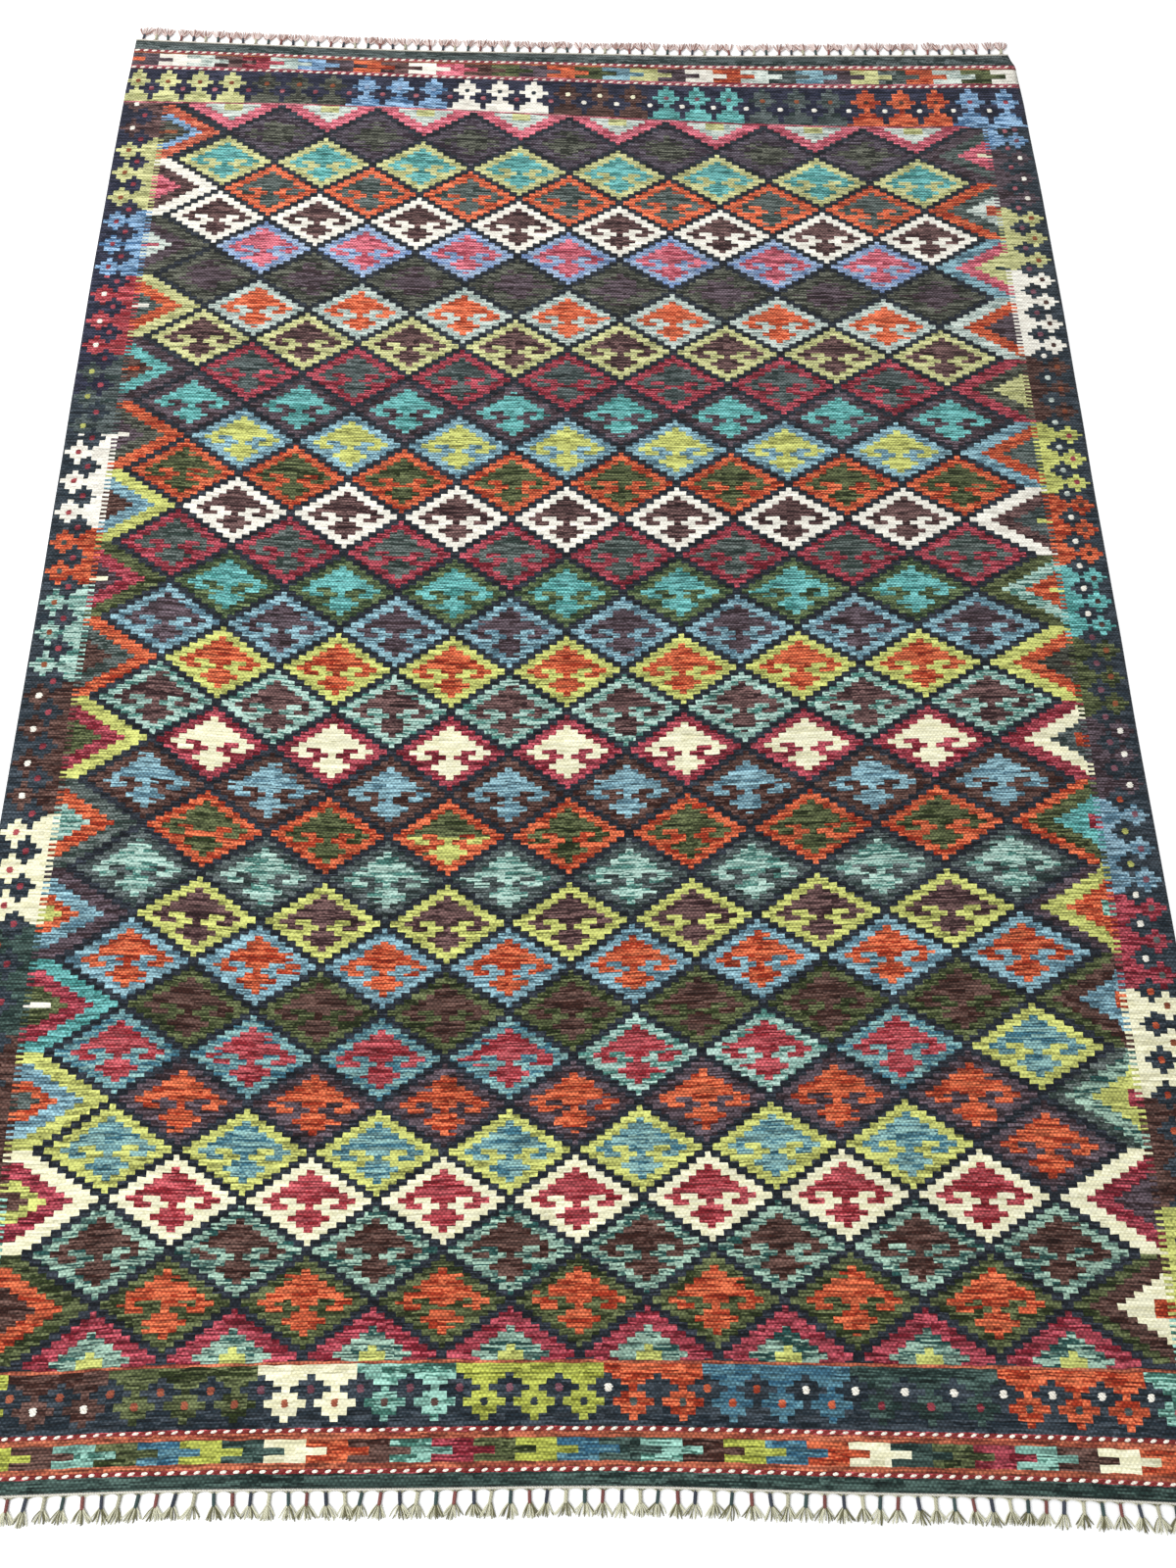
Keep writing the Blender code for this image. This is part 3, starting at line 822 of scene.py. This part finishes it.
def cloth_piece():
    """The cloth: a grid of woven cells whose lines are weave_lines. Inside its edges the vertices stray.

    Its top is 3 mm up, plus slow waves under 1 mm, and rounds down to its outline. Its underside is flat, and
    plain dark wool. Returns it, with the lines, the height of each vertex of its top (m) and the dots."""
    across, along = weave_lines()
    chart, dots = woven_chart(across, along)
    dice = np.random.default_rng(5)
    own, other = (colours.reshape(-1, 3) for colours in dyed(chart, dice))
    stray = dice.uniform(-STRAY, STRAY, (2,) + across.shape)
    sideways, lengthways = navy_swell(chart)
    inside = np.zeros_like(across)
    inside[2:-2, 2:-2] = 1
    x = rug_x(across + (stray[0] + sideways) * inside)
    y = rug_y(along + (stray[1] + lengthways) * inside)
    line, column = np.arange(ROWS + 1), np.arange(COLUMNS + 1)
    edge = np.minimum.outer(np.minimum(line, ROWS - line), np.minimum(column, COLUMNS - column))
    level = TOP_HEIGHT + slow_waves(x, y) * np.clip(edge / LEVEL_LINES, 0, 1)
    height = np.where(edge == 0, EDGE_HEIGHT, level) / 1000
    top = np.stack([x, y, height], -1).reshape(-1, 3)
    index = np.arange(top.shape[0]).reshape(height.shape)
    ring = np.concatenate([index[:-1, 0], index[-1, :-1], index[:0:-1, -1], index[0, :0:-1]])
    low = len(top) + np.arange(len(ring))
    walls = np.stack([ring, low, np.roll(low, -1), np.roll(ring, -1)], -1)
    cells = np.arange(chart.size).reshape(chart.shape)
    ring_cells = np.concatenate([cells[:, 0], cells[-1, :], cells[::-1, -1], cells[0, ::-1]])
    dark = linear(YARNS["navy"][0])[None]
    vertices = np.vstack([top, top[ring] * (1, 1, 0)])
    faces = [grid_quads(ROWS, COLUMNS), walls, low[::-1][None]]
    band_wefts = {end: np.round(np.array(band["rows"]) / WEFT) for end, band in BANDS.items()}
    row_wefts = np.concatenate([[0], band_wefts[1], np.full(NEAR - FAR, FIELD_WEFTS), band_wefts[-1]])
    wefts = np.repeat(np.cumsum(row_wefts), COLUMNS + 1)
    u, v = ((vertices[:, axis] + reach) / (2 * reach) for axis, reach in enumerate(UV_REACH))
    corner_uv = []
    for part, (floor, tall) in zip(faces, UV_PARTS):
        at = part.ravel()
        corner_uv.append(np.stack([UV_LEFT + UV_WIDE * u[at], floor + tall * v[at]], -1))
    cloth = mesh_piece("kilim_cloth", vertices, faces, np.vstack([own, own[ring_cells], dark]),
                       np.vstack([other, other[ring_cells], dark]), np.concatenate(corner_uv),
                       np.concatenate([wefts, wefts[ring]]))
    return cloth, across, along, height, dots


# ---------------------------------------------------------------- the twined lines and the wrapped dots
# The twined lines by end: the rows of the band that they cover, the seed of their draw and their dark red,
# then the half lengths of a cream and of a dark stitch and their half width in metres, and their slant in
# degrees
TWINING = {
    1: {"rows": (2, 8), "seed": 31, "madder": "#94444b",
        "half_long": (0.0066, 0.0064), "half_wide": 0.0020, "slant": 14},
    -1: {"rows": (10, 16), "seed": 37, "madder": "#7c2c27",
         "half_long": (0.0056, 0.0070), "half_wide": 0.0023, "slant": 13},
}
STITCH_PITCH = 0.0188 / 2  # a cream and a dark stitch take 18.8 mm
LINE_BEGINS, LINE_SHORTER = 0.004, 0.006  # metres in from the left end of its row, and shorter than the row
LEAN_STRAY = 7  # degrees that a stitch leans more or less than its slant, at most
# A wrapped dot is three stitches, one beyond the other
DOT_PITCH, DOT_SLANT = 0.0032, 8  # metres, degrees
DOT_SHIFT, DOT_STRAY = 0.0003, 0.0006  # metres to the left with each stitch, and to either side by chance
# The half lengths of the middle stitch and of the outer two, and their half width (metres)
DOT_MIDDLE, DOT_OUTER, DOT_HALF_WIDE = 0.0068, 0.0058, 0.0024
TIGHT_WOOL = 0.74  # dyed wool that is wrapped tight looks darker than it does woven, and undyed wool doesn't


def twining(name, end, across, along):
    """The two twined lines of an end band: two strands, cream and dark red, that show by turns."""
    style = TWINING[end]
    cream, madder = linear("#f4efdf"), linear(style["madder"])
    dice = np.random.default_rng(style["seed"])
    places, bright = [], []
    for row in style["rows"]:
        line = row + (0 if end > 0 else NEAR)
        at = rug_x((across[line] + across[line + 1]) / 2)
        middle = rug_y((along[line] + along[line + 1]) / 2)
        count = int((at[-1] - at[0] - LINE_SHORTER) / STITCH_PITCH)
        x0 = at[0] + LINE_BEGINS + STITCH_PITCH * (np.arange(count) + 0.5)
        places.append(np.stack([x0, np.interp(x0, at, middle)]))
        bright.append(np.arange(count) % 2 == 0)
    x, y = np.concatenate(places, axis=1)
    bright = np.concatenate(bright)
    half_long = np.where(bright, *style["half_long"]) * dice.uniform(0.88, 1.1, len(x))
    half_wide = style["half_wide"] * dice.uniform(0.9, 1.1, len(x))
    lean = np.radians(style["slant"] + dice.uniform(-LEAN_STRAY, LEAN_STRAY, len(x)))
    colours = np.where(bright[:, None], cream, madder) * dice.uniform(0.88, 1.08, len(x))[:, None]
    return pillows(name, x, y, 0.0026, half_long, half_wide, lean, 0.0022, colours)


def wrapped_dots(across, along, height, dots):
    """The dots in the flowers: each three slanting stitches, the middle one about 14 mm long."""
    first, last, column, yarn = np.array(dots).T
    corners = ((first, column), (first, column + 1), (last, column), (last, column + 1))
    x, y, z = (sum(grid[corner] for corner in corners) / 4 for grid in (across, along, height))
    dice = np.random.default_rng(47)
    step = np.tile([-1, 0, 1], len(x))
    x, y, z, yarn = (np.repeat(a, 3) for a in (x, y, z, yarn))
    x = rug_x(x) - DOT_SHIFT * step + dice.uniform(-DOT_STRAY, DOT_STRAY, len(x))
    y = rug_y(y) + DOT_PITCH * step
    half_long = np.where(step == 0, DOT_MIDDLE, DOT_OUTER) * dice.uniform(0.88, 1.1, len(x))
    shades = np.array([[linear(dye), linear(shade)] for dye, shade, streaked in YARNS.values()])[yarn]
    mix = dice.random((len(x), 1))
    colours = shades[:, 0] * (1 - mix) + shades[:, 1] * mix
    colours = colours * np.where(colours.mean(axis=1) > 0.5, 1.0, TIGHT_WOOL)[:, None]
    lean = np.radians(DOT_SLANT + dice.uniform(-LEAN_STRAY, LEAN_STRAY, len(x)))
    return pillows("wrapped_dots", x, y, z - 0.0001, half_long, DOT_HALF_WIDE, lean, 0.0013, colours, (6, 3))


# ---------------------------------------------------------------- the fringes
TASSELS = {-1: (75, 11), 1: (70, 23)}  # how many, and the seed of their draw, by end
TASSEL_INSET = 0.016  # from the selvedge to the middle of the last tassel
TASSEL_LEAN, TASSEL_SHORTER = 0.0016, 0.15  # the most that a tip swings, and that a tassel falls short
TASSEL_LENGTH = 0.041  # metres out from the cloth to the tip, in the solids
# The fringes by end:
#   stem, tuft   mm out from the cloth, where the wrapped stems and the loose tufts begin and end
#   fan          the tufts' least and most half width (mm)
#   fan_power    the power of the way out with which a tuft widens
#   sway         how far a stem's foot lies to any side by chance (mm)
#   combed       how far it lies to the left at the left selvedge, and less and less towards the middle (mm)
#   yarns        in a tuft
#   cotton       its light and dark shades
#   first_wool   the first stem's in STEM_WOOLS
#   seed         of the draw
FRINGES = {
    -1: {"stem": (5.2, 21.5), "tuft": (20.0, 42.0), "fan": (10.5, 14.5), "sway": 3.2, "combed": 2.2,
         "yarns": 14, "fan_power": 0.9, "cotton": ("#d2d0b5", "#6d6a4c"), "first_wool": 3, "seed": 43},
    1: {"stem": (5.2, 18.0), "tuft": (16.6, 45.0), "fan": (13.5, 16.5), "sway": 2.2, "combed": 0.0,
        "yarns": 16, "fan_power": 0.6, "cotton": ("#e6d2cb", "#9c766c"), "first_wool": 2, "seed": 41},
}
STEM_WOOLS = ("#3a4c4a", "#7d4b46", "#3c414b", "#b3b096")  # pine, madder, navy and cream, by turns
CORD_COTTON = "#cfccbe"
PALE_SHARE = 0.55  # of the strands, those of the light shade
WARP_STARTS = (-12.6, -8.4, -3.8, 3.8, 8.4, 12.6)  # mm from a tassel's middle to its warps, at the cord
WARPS_BEGIN, WARPS_OVERLAP = 0.0026, 0.0020  # metres out from the cloth, and on into the stem
WARP_RADIUS, STEM_RADIUS = 0.00075, 0.00250
YARN_RADII = (0.0008, 0.0009, 0.0010, 0.0010, 0.0009, 0.0006)  # of a tuft's yarn, from its root to its tip
# The braided cord: how far its middle lies out from the cloth and up, its radius, and how far its place and
# radius wave (metres)
CORD_OUT, CORD_UP, CORD_RADIUS, CORD_WAVE = 0.0021, 0.0019, 0.00150, 0.00025
CORD_POINTS = 1001


def tassel_places(end):
    """Each tassel's x, lean and share of its full length, drawn as the solids' are."""
    count, seed = TASSELS[end]
    draw = random.Random(seed)
    first, last = corner_x(-1, end) + TASSEL_INSET, corner_x(1, end) - TASSEL_INSET
    places = []
    for i in range(count):
        lean = draw.uniform(-TASSEL_LEAN, TASSEL_LEAN)
        shorter = draw.uniform(0.0, TASSEL_SHORTER)
        if i in (0, count - 1):
            shorter = 0
        places.append((first + (last - first) * i / (count - 1), lean, 1 - shorter))
    return np.array(places)


def arching_warps(placed, stem, count, dice):
    """Six warps to a tassel, gathered from a pitch of the cord into the head of the stem: paths and radii."""
    t = np.linspace(0, 1, 7)
    start = np.array(WARP_STARTS) / 1000
    sideways = start[None, :, None] * (1 - t) ** 1.6 + np.sign(start)[None, :, None] * 0.0012 * t
    sideways = sideways + dice.uniform(-0.0006, 0.0006, (count, len(start), 1)) * (1 - t)
    outwards = WARPS_BEGIN + (stem[0] + WARPS_OVERLAP - WARPS_BEGIN) * t ** 1.3
    paths = placed(sideways, outwards, 0.0012 + 0.0014 * t)
    return paths, np.full(paths.shape[:2], WARP_RADIUS)


def loose_tufts(placed, style, share, dice):
    """The yarns that fan out of each stem's foot, and bend, lift and fall: paths and radii."""
    tuft, fan_width = np.array(style["tuft"]) / 1000, np.array(style["fan"]) / 1000
    count, yarns = len(share), style["yarns"]
    t = np.linspace(0, 1, len(YARN_RADII))
    fan = np.linspace(-1, 1, yarns)[None, :] + dice.uniform(-0.17, 0.17, (count, yarns))
    spread = dice.uniform(*fan_width, count)
    reach = (tuft[1] - tuft[0]) * dice.uniform(0.80, 1.06, (count, yarns)) * (1 - 0.12 * fan ** 2)
    bend = dice.uniform(-0.0016, 0.0016, (count, yarns))
    sideways = (0.0016 * fan[..., None] + spread[:, None, None] * fan[..., None] * t ** style["fan_power"]
                + bend[..., None] * np.sin(np.pi * t))
    outwards = tuft[0] + reach[..., None] * t * share[:, None, None]
    lift = dice.uniform(0.0, 1.0, (count, yarns))[..., None]
    up = 0.0024 + 0.0012 * lift - (0.0011 + 0.0010 * lift) * t ** 0.7 + 0.0006 * np.sin(np.pi * t) * lift
    paths = placed(sideways, outwards, up)
    return paths, np.tile(np.array(YARN_RADII), (len(paths), 1))


def wrapped_stems(placed, stem, count, dice):
    """The stems, whose radius rises and falls with each turn of their wrapping: paths and radii."""
    t = np.linspace(0, 1, 15)
    swell = STEM_RADIUS + 0.00020 * np.cos(np.pi * np.arange(15)) + 0.0002 * np.sin(np.pi * t)
    paths = placed(dice.uniform(-0.0004, 0.0004, (count, 1, 1)), stem[0] + (stem[1] - stem[0]) * t, 0.0032)
    return paths, np.tile(swell, (count, 1)) * dice.uniform(0.92, 1.08, (count, 1))


def braided_cord(end):
    """The cord along the cloth's end, a tube whose radius and place wave with the braid: path and radii."""
    x = np.linspace(corner_x(-1, end) + 0.0005, corner_x(1, end) - 0.0005, CORD_POINTS)
    braid = np.arange(CORD_POINTS) * np.pi / 2
    path = np.stack([x, end_y(x, end) + end * (CORD_OUT + CORD_WAVE * np.sin(braid)), CORD_UP + 0 * x], -1)
    return path[None], (CORD_RADIUS + CORD_WAVE * np.cos(braid * 2 + 0.6))[None]


def cotton_shades(shades, count, dice):
    """A colour for each strand, mostly the one shade or the other."""
    light, dark = (linear(shade) for shade in shades)
    mix = one_or_other(PALE_SHARE, dice.random((count, 1)))
    return light * mix + dark * (1 - mix)


def fringe_pieces(side, end):
    """A fringe: the braided cord along the cloth's end, the warps that arch from it into each tassel, the
    wrapped stem, and the loose tuft. Every path is worked out as (sideways, outwards, up) from the cloth's
    end, in metres, and then set at its tassel."""
    style = FRINGES[end]
    stem = np.array(style["stem"]) / 1000
    x0, lean, share = tassel_places(end).T
    count = len(x0)
    dice = np.random.default_rng(style["seed"])
    root = end_y(x0, end)
    sway = dice.uniform(-1, 1, count) * style["sway"] / 1000 - style["combed"] / 1000 * np.clip(-x0, 0, 1)

    def placed(sideways, outwards, up):
        """Paths at every tassel, that swing with its lean and sway as they run outwards."""
        swing = (lean[:, None, None] * (outwards / TASSEL_LENGTH) ** 2
                 + sway[:, None, None] * (outwards / stem[1]) ** 1.3)
        x = x0[:, None, None] + sideways + swing
        y = root[:, None, None] + end * outwards + 0 * x
        return np.stack([x, y, up + 0 * x], -1).reshape(-1, x.shape[-1], 3)

    warps = arching_warps(placed, stem, count, dice)
    tufts = loose_tufts(placed, style, share, dice)
    stems = wrapped_stems(placed, stem, count, dice)
    warp_shades = cotton_shades(style["cotton"], len(warps[0]), dice)
    tuft_shades = cotton_shades(style["cotton"], len(tufts[0]), dice)
    cord = tubes(*braided_cord(end), 8, linear(CORD_COTTON)[None])
    loose = mesh_piece("fringe_%s_warps" % side,
                       *joined(tubes(*warps, 5, warp_shades), tubes(*tufts, 5, tuft_shades), cord))
    wools = np.array([linear(wool) for wool in STEM_WOOLS])
    order = (np.arange(count) + style["first_wool"]) % len(wools)
    stem_shades = wools[order] * dice.uniform(0.85, 1.15, (count, 1))
    return loose, mesh_piece("fringe_%s_wraps" % side, *joined(tubes(*stems, 8, stem_shades)))


# ---------------------------------------------------------------- materials
# Wefts are drawn 2.3 mm high, and the beads of the weave 6.8 mm apart in rows 4.6 mm high. That is half as
# large again as they are, so that they show
BEAD_APART = 0.0068


def add(tree, kind, settings=(), inputs=()):
    """A node of that kind, with its settings, and its inputs set or linked by name or number. An input that
    is given a node takes that node's first output."""
    made = tree.nodes.new(kind)
    for key, value in dict(settings).items():
        setattr(made, key, value)
    for key, value in dict(inputs).items():
        if isinstance(value, bpy.types.Node):
            value = value.outputs[0]
        if isinstance(value, bpy.types.NodeSocket):
            tree.links.new(value, made.inputs[key])
        else:
            made.inputs[key].default_value = value
    return made


def new_material(name):
    """An empty material, and its node tree."""
    made = bpy.data.materials.new(name)
    made.use_nodes = True
    made.node_tree.nodes.clear()
    return made, made.node_tree


def weft_faced_wool():
    """Hand-spun sheep's wool, dyed in small lots and beaten down over a cotton warp (a slit-tapestry weave).

    The eye sees matt colour with streaks along the weft, the beads that wefts of about 1.5 mm make where they
    ride over warps 2.3 mm apart, and a faint fuzz that catches light at the edges. The shade between the
    beads and on slack wefts, and the light on tight ones, are painted into the colour as well as bumped."""
    made, tree = new_material("weft_faced_wool")
    place = add(tree, "ShaderNodeTexCoord").outputs["Object"]
    own = add(tree, "ShaderNodeAttribute", {"attribute_name": "yarn"})
    other = add(tree, "ShaderNodeAttribute", {"attribute_name": "yarn_other"})
    # a number that rises by one with each weft; a row of the field has two
    weft = add(tree, "ShaderNodeAttribute", {"attribute_name": "weft"}).outputs["Fac"]
    weft_no = add(tree, "ShaderNodeMath", {"operation": "FLOOR"}, {0: weft})
    sideways = add(tree, "ShaderNodeSeparateXYZ", inputs={0: place}).outputs["X"]
    weft_place = add(tree, "ShaderNodeCombineXYZ", inputs={"X": sideways, "Y": weft_no})
    # streaks: the yarn's other shade, in runs of about 45 mm of one weft
    streak_place = add(tree, "ShaderNodeMapping",
                       inputs={"Vector": weft_place, "Location": (0, 0.31, 0), "Scale": (22, 0.73, 1)})
    streak = add(tree, "ShaderNodeTexNoise", {"noise_dimensions": "2D"},
                 {"Vector": streak_place, "Scale": 1.0, "Detail": 3.0, "Roughness": 0.65})
    streak_mask = add(tree, "ShaderNodeMapRange", {"interpolation_type": "SMOOTHSTEP"},
                      {"Value": streak, "From Min": 0.50, "From Max": 0.60, "To Min": 0.0, "To Max": 0.9})
    dyed_wool = add(tree, "ShaderNodeMix", {"data_type": "RGBA"},
                    {"Factor": streak_mask, "A": own, "B": other}).outputs["Result"]
    # abrash: slow bands of stronger and weaker dye along the rug
    abrash_place = add(tree, "ShaderNodeMapping", inputs={"Vector": place, "Scale": (1.3, 16, 1)})
    abrash = add(tree, "ShaderNodeTexNoise", {"noise_dimensions": "2D"},
                 {"Vector": abrash_place, "Scale": 1.0, "Detail": 4.0, "Roughness": 0.6})
    abrash_tone = add(tree, "ShaderNodeMapRange", inputs={
        "Value": abrash, "From Min": 0.3, "From Max": 0.7, "To Min": 0.86, "To Max": 1.12})
    # slack and tight wefts, 30 to 60 mm long: painted shade on a slack, low one, painted light on a tight one
    slack_place = add(tree, "ShaderNodeMapping",
                      inputs={"Vector": weft_place, "Location": (3.1, 60.4, 0), "Scale": (17, 0.79, 1)})
    slack = add(tree, "ShaderNodeTexNoise", {"noise_dimensions": "2D"},
                {"Vector": slack_place, "Scale": 1.0, "Detail": 3.0, "Roughness": 0.65})
    slack_height_and_shade = add(tree, "ShaderNodeMapRange", {"interpolation_type": "SMOOTHSTEP"},
                     {"Value": slack, "From Min": 0.32, "From Max": 0.62, "To Min": 0.40, "To Max": 1.25})
    # weave: a bead of weft stands over every second warp, and over the others in the next row
    row_at = add(tree, "ShaderNodeMath", {"operation": "MULTIPLY"}, {0: weft, 1: 0.5})
    row_no = add(tree, "ShaderNodeMath", {"operation": "FLOOR"}, {0: row_at})
    half_step = add(tree, "ShaderNodeMath", {"operation": "MULTIPLY"}, {0: row_no, 1: 0.5})
    rib_at = add(tree, "ShaderNodeMath", {"operation": "MULTIPLY_ADD"},
                 {0: sideways, 1: 1 / BEAD_APART, 2: half_step})
    rib_turn = add(tree, "ShaderNodeMath", {"operation": "MULTIPLY"}, {0: rib_at, 1: 2 * math.pi})
    rib_wave = add(tree, "ShaderNodeMath", {"operation": "SINE"}, {0: rib_turn})
    rib = add(tree, "ShaderNodeMapRange", inputs={"Value": rib_wave, "From Min": -1.0, "From Max": 1.0})
    row_turn = add(tree, "ShaderNodeMath", {"operation": "MULTIPLY"}, {0: row_at, 1: math.pi})
    row_wave = add(tree, "ShaderNodeMath", {"operation": "SINE"}, {0: row_turn})
    row_round = add(tree, "ShaderNodeMath", {"operation": "ABSOLUTE"}, {0: row_wave})
    bead = add(tree, "ShaderNodeMath", {"operation": "MULTIPLY"}, {0: rib, 1: row_round})
    fuzz = add(tree, "ShaderNodeTexNoise", inputs={"Vector": place, "Scale": 900.0, "Detail": 2.0})
    relief = add(tree, "ShaderNodeMath", {"operation": "MULTIPLY_ADD"}, {0: fuzz, 1: 0.35, 2: bead})
    low_wefts = add(tree, "ShaderNodeMath", {"operation": "ADD"}, {0: relief, 1: slack_height_and_shade})
    bump = add(tree, "ShaderNodeBump", inputs={"Strength": 0.7, "Distance": 0.0011, "Height": low_wefts})
    # the gaps between beads are darker, because light doesn't reach into them
    depth_tone = add(tree, "ShaderNodeMapRange", inputs={
        "Value": relief, "From Min": 0.1, "From Max": 0.9, "To Min": 0.55, "To Max": 1.22})
    # painted shade of the weave: the gaps between beads and the slack wefts darker, the tight wefts lighter
    painted_weave_shade = add(tree, "ShaderNodeMath", {"operation": "MULTIPLY"}, {0: depth_tone, 1: slack_height_and_shade})
    # the abrash's real dye bands, times that painted shade and light
    tone = add(tree, "ShaderNodeMath", {"operation": "MULTIPLY"}, {0: abrash_tone, 1: painted_weave_shade})
    # pale wool scatters light into its own hollows, so they are less dark
    paleness = add(tree, "ShaderNodeRGBToBW", inputs={0: dyed_wool})
    hold = add(tree, "ShaderNodeMapRange", inputs={
        "Value": paleness, "From Min": 0.30, "From Max": 0.70, "To Min": 1.0, "To Max": 0.30})
    tone_off = add(tree, "ShaderNodeMath", {"operation": "SUBTRACT"}, {0: tone, 1: 1.0})
    held_tone = add(tree, "ShaderNodeMath", {"operation": "MULTIPLY_ADD"}, {0: tone_off, 1: hold, 2: 1.0})
    shaded = add(tree, "ShaderNodeVectorMath", {"operation": "SCALE"}, {0: dyed_wool, "Scale": held_tone})
    wool = add(tree, "ShaderNodeBsdfPrincipled", inputs={
        "Base Color": shaded, "Roughness": 0.92, "Normal": bump, "Sheen Weight": 0.05,
        "Sheen Roughness": 0.6, "Specular IOR Level": 0.12, "IOR": 1.54})
    add(tree, "ShaderNodeOutputMaterial", inputs={"Surface": wool})
    return made


def twisted_yarn(name, roughness, ply):
    """Plied yarn that stands proud, as in the twined lines, the wrapped stems and the undyed cotton warps.

    The eye sees round, matt strands with the slant of their ply, drawn here about 1.6 mm apart so that it
    shows, and a little fuzz. The ply's grooves are darker and its ridges lighter in the colour itself, as
    painted shade and light, as well as bumped."""
    made, tree = new_material(name)
    place = add(tree, "ShaderNodeTexCoord").outputs["Object"]
    own = add(tree, "ShaderNodeAttribute", {"attribute_name": "yarn"})
    twist = add(tree, "ShaderNodeTexWave", {"wave_type": "BANDS", "bands_direction": "DIAGONAL"},
                {"Vector": place, "Scale": ply, "Distortion": 1.2, "Detail": 1.0, "Detail Scale": 2.0})
    fuzz = add(tree, "ShaderNodeTexNoise", inputs={"Vector": place, "Scale": 700.0, "Detail": 3.0})
    relief = add(tree, "ShaderNodeMath", {"operation": "MULTIPLY_ADD"},
                 {0: fuzz, 1: 0.4, 2: twist.outputs["Fac"]})
    bump = add(tree, "ShaderNodeBump", inputs={"Strength": 0.5, "Distance": 0.0006, "Height": relief})
    # painted shade and light: the ply's grooves and the fuzz's hollows darker, their ridges lighter
    tone = add(tree, "ShaderNodeMapRange", inputs={
        "Value": relief, "From Min": 0.1, "From Max": 1.2, "To Min": 0.72, "To Max": 1.12})
    shaded = add(tree, "ShaderNodeVectorMath", {"operation": "SCALE"}, {0: own, "Scale": tone})
    yarn = add(tree, "ShaderNodeBsdfPrincipled", inputs={
        "Base Color": shaded, "Roughness": roughness, "Normal": bump, "Sheen Weight": 0.05,
        "Sheen Roughness": 0.6, "Specular IOR Level": 0.15, "IOR": 1.54})
    add(tree, "ShaderNodeOutputMaterial", inputs={"Surface": yarn})
    return made


def pale_floor():
    """A plain pale floor, painted matt."""
    made, tree = new_material("pale_floor")
    paint = add(tree, "ShaderNodeBsdfPrincipled", inputs={
        "Base Color": (*linear("#fcfcfb"), 1.0), "Roughness": 0.85, "Specular IOR Level": 0.2})
    add(tree, "ShaderNodeOutputMaterial", inputs={"Surface": paint})
    return made


# ---------------------------------------------------------------- the camera, the floor and the light
# The camera's place, lens and turn were fitted to the rug's four edges in the photograph
CAMERA_PLACE = (-0.1015, -1.101, 1.988)
CAMERA_TURN = (1.58, 69.22, 2.13)  # azimuth, pitch down and roll, degrees
LENS, SENSOR, SHIFT = 27.79, 36.0, 0.03375
FLOOR_REACH, FLOOR_DROP = 9, 0.0002  # metres from its middle to its edges, and below the rug


def camera():
    """The photograph's camera: its place, and its turn from an azimuth, a pitch down and a roll."""
    azimuth, pitch, roll = (math.radians(a) for a in CAMERA_TURN)
    level = Vector((math.cos(azimuth), -math.sin(azimuth), 0.0))
    forward = Vector((
        math.sin(azimuth) * math.cos(pitch), math.cos(azimuth) * math.cos(pitch), -math.sin(pitch)))
    upward = level.cross(forward)
    right = level * math.cos(roll) + upward * math.sin(roll)
    up = upward * math.cos(roll) - level * math.sin(roll)
    data = bpy.data.cameras.new("camera")
    data.lens = LENS
    data.sensor_width = SENSOR
    data.shift_x = SHIFT
    data.clip_start = 0.02
    made = bpy.data.objects.new("camera", data)
    bpy.context.scene.collection.objects.link(made)
    turn = Matrix((right, up, -forward)).transposed().to_4x4()
    made.matrix_world = Matrix.Translation(CAMERA_PLACE) @ turn
    bpy.context.scene.camera = made


def area_light(name, place, target, size, power, tint):
    """A square soft light that faces a target."""
    data = bpy.data.lights.new(name, "AREA")
    data.shape = "RECTANGLE"
    data.size = size
    data.size_y = size
    data.energy = power
    data.color = tint
    made = bpy.data.objects.new(name, data)
    bpy.context.scene.collection.objects.link(made)
    made.location = place
    made.rotation_euler = (Vector(target) - Vector(place)).to_track_quat("-Z", "Y").to_euler()


def studio():
    """A pale floor, two large soft lights and an even, slightly cool surround."""
    mesh = bpy.data.meshes.new("floor")
    corners = ((-1, -1), (1, -1), (1, 1), (-1, 1))
    points = [(x * FLOOR_REACH, y * FLOOR_REACH, -FLOOR_DROP) for x, y in corners]
    mesh.from_pydata(points, [], [(0, 1, 2, 3)])
    floor = bpy.data.objects.new("floor", mesh)
    bpy.context.scene.collection.objects.link(floor)
    mesh.materials.append(pale_floor())
    area_light("key", (-2.6, 3.4, 3.6), (0, 0.2, 0), 3.5, 186, (1.0, 0.99, 0.97))
    area_light("fill", (-2.0, -2.6, 3.8), (-0.2, -0.4, 0), 3.0, 126, (0.98, 0.98, 1.0))
    world = bpy.data.worlds.new("surround")
    world.use_nodes = True
    surround = world.node_tree.nodes["Background"]
    surround.inputs["Color"].default_value = (0.95, 0.97, 1.0, 1.0)
    surround.inputs["Strength"].default_value = 0.635
    bpy.context.scene.world = world
    bpy.context.scene.view_settings.view_transform = "Standard"


# ---------------------------------------------------------------- the rug
camera()
studio()
wool = weft_faced_wool()
stitch = twisted_yarn("twined_wool", 0.90, 110.0)
wrap = twisted_yarn("wrapping_wool", 0.90, 140.0)
cotton_warp = twisted_yarn("plied_cotton_warp", 0.88, 160.0)

cloth, across, along, height, dots = cloth_piece()
cloth.data.materials.append(wool)
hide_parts("cloth")
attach(cloth, "root")
dot_stitches = wrapped_dots(across, along, height, dots)
dot_stitches.data.materials.append(stitch)
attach(dot_stitches, "root")
for side, end in (("front", -1), ("back", 1)):
    lines = twining("twining_%s" % side, end, across, along)
    lines.data.materials.append(stitch)
    warps, wraps = fringe_pieces(side, end)
    warps.data.materials.append(cotton_warp)
    wraps.data.materials.append(wrap)
    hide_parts("fringe_%s" % side)
    for piece in (lines, warps, wraps):
        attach(piece, "root")
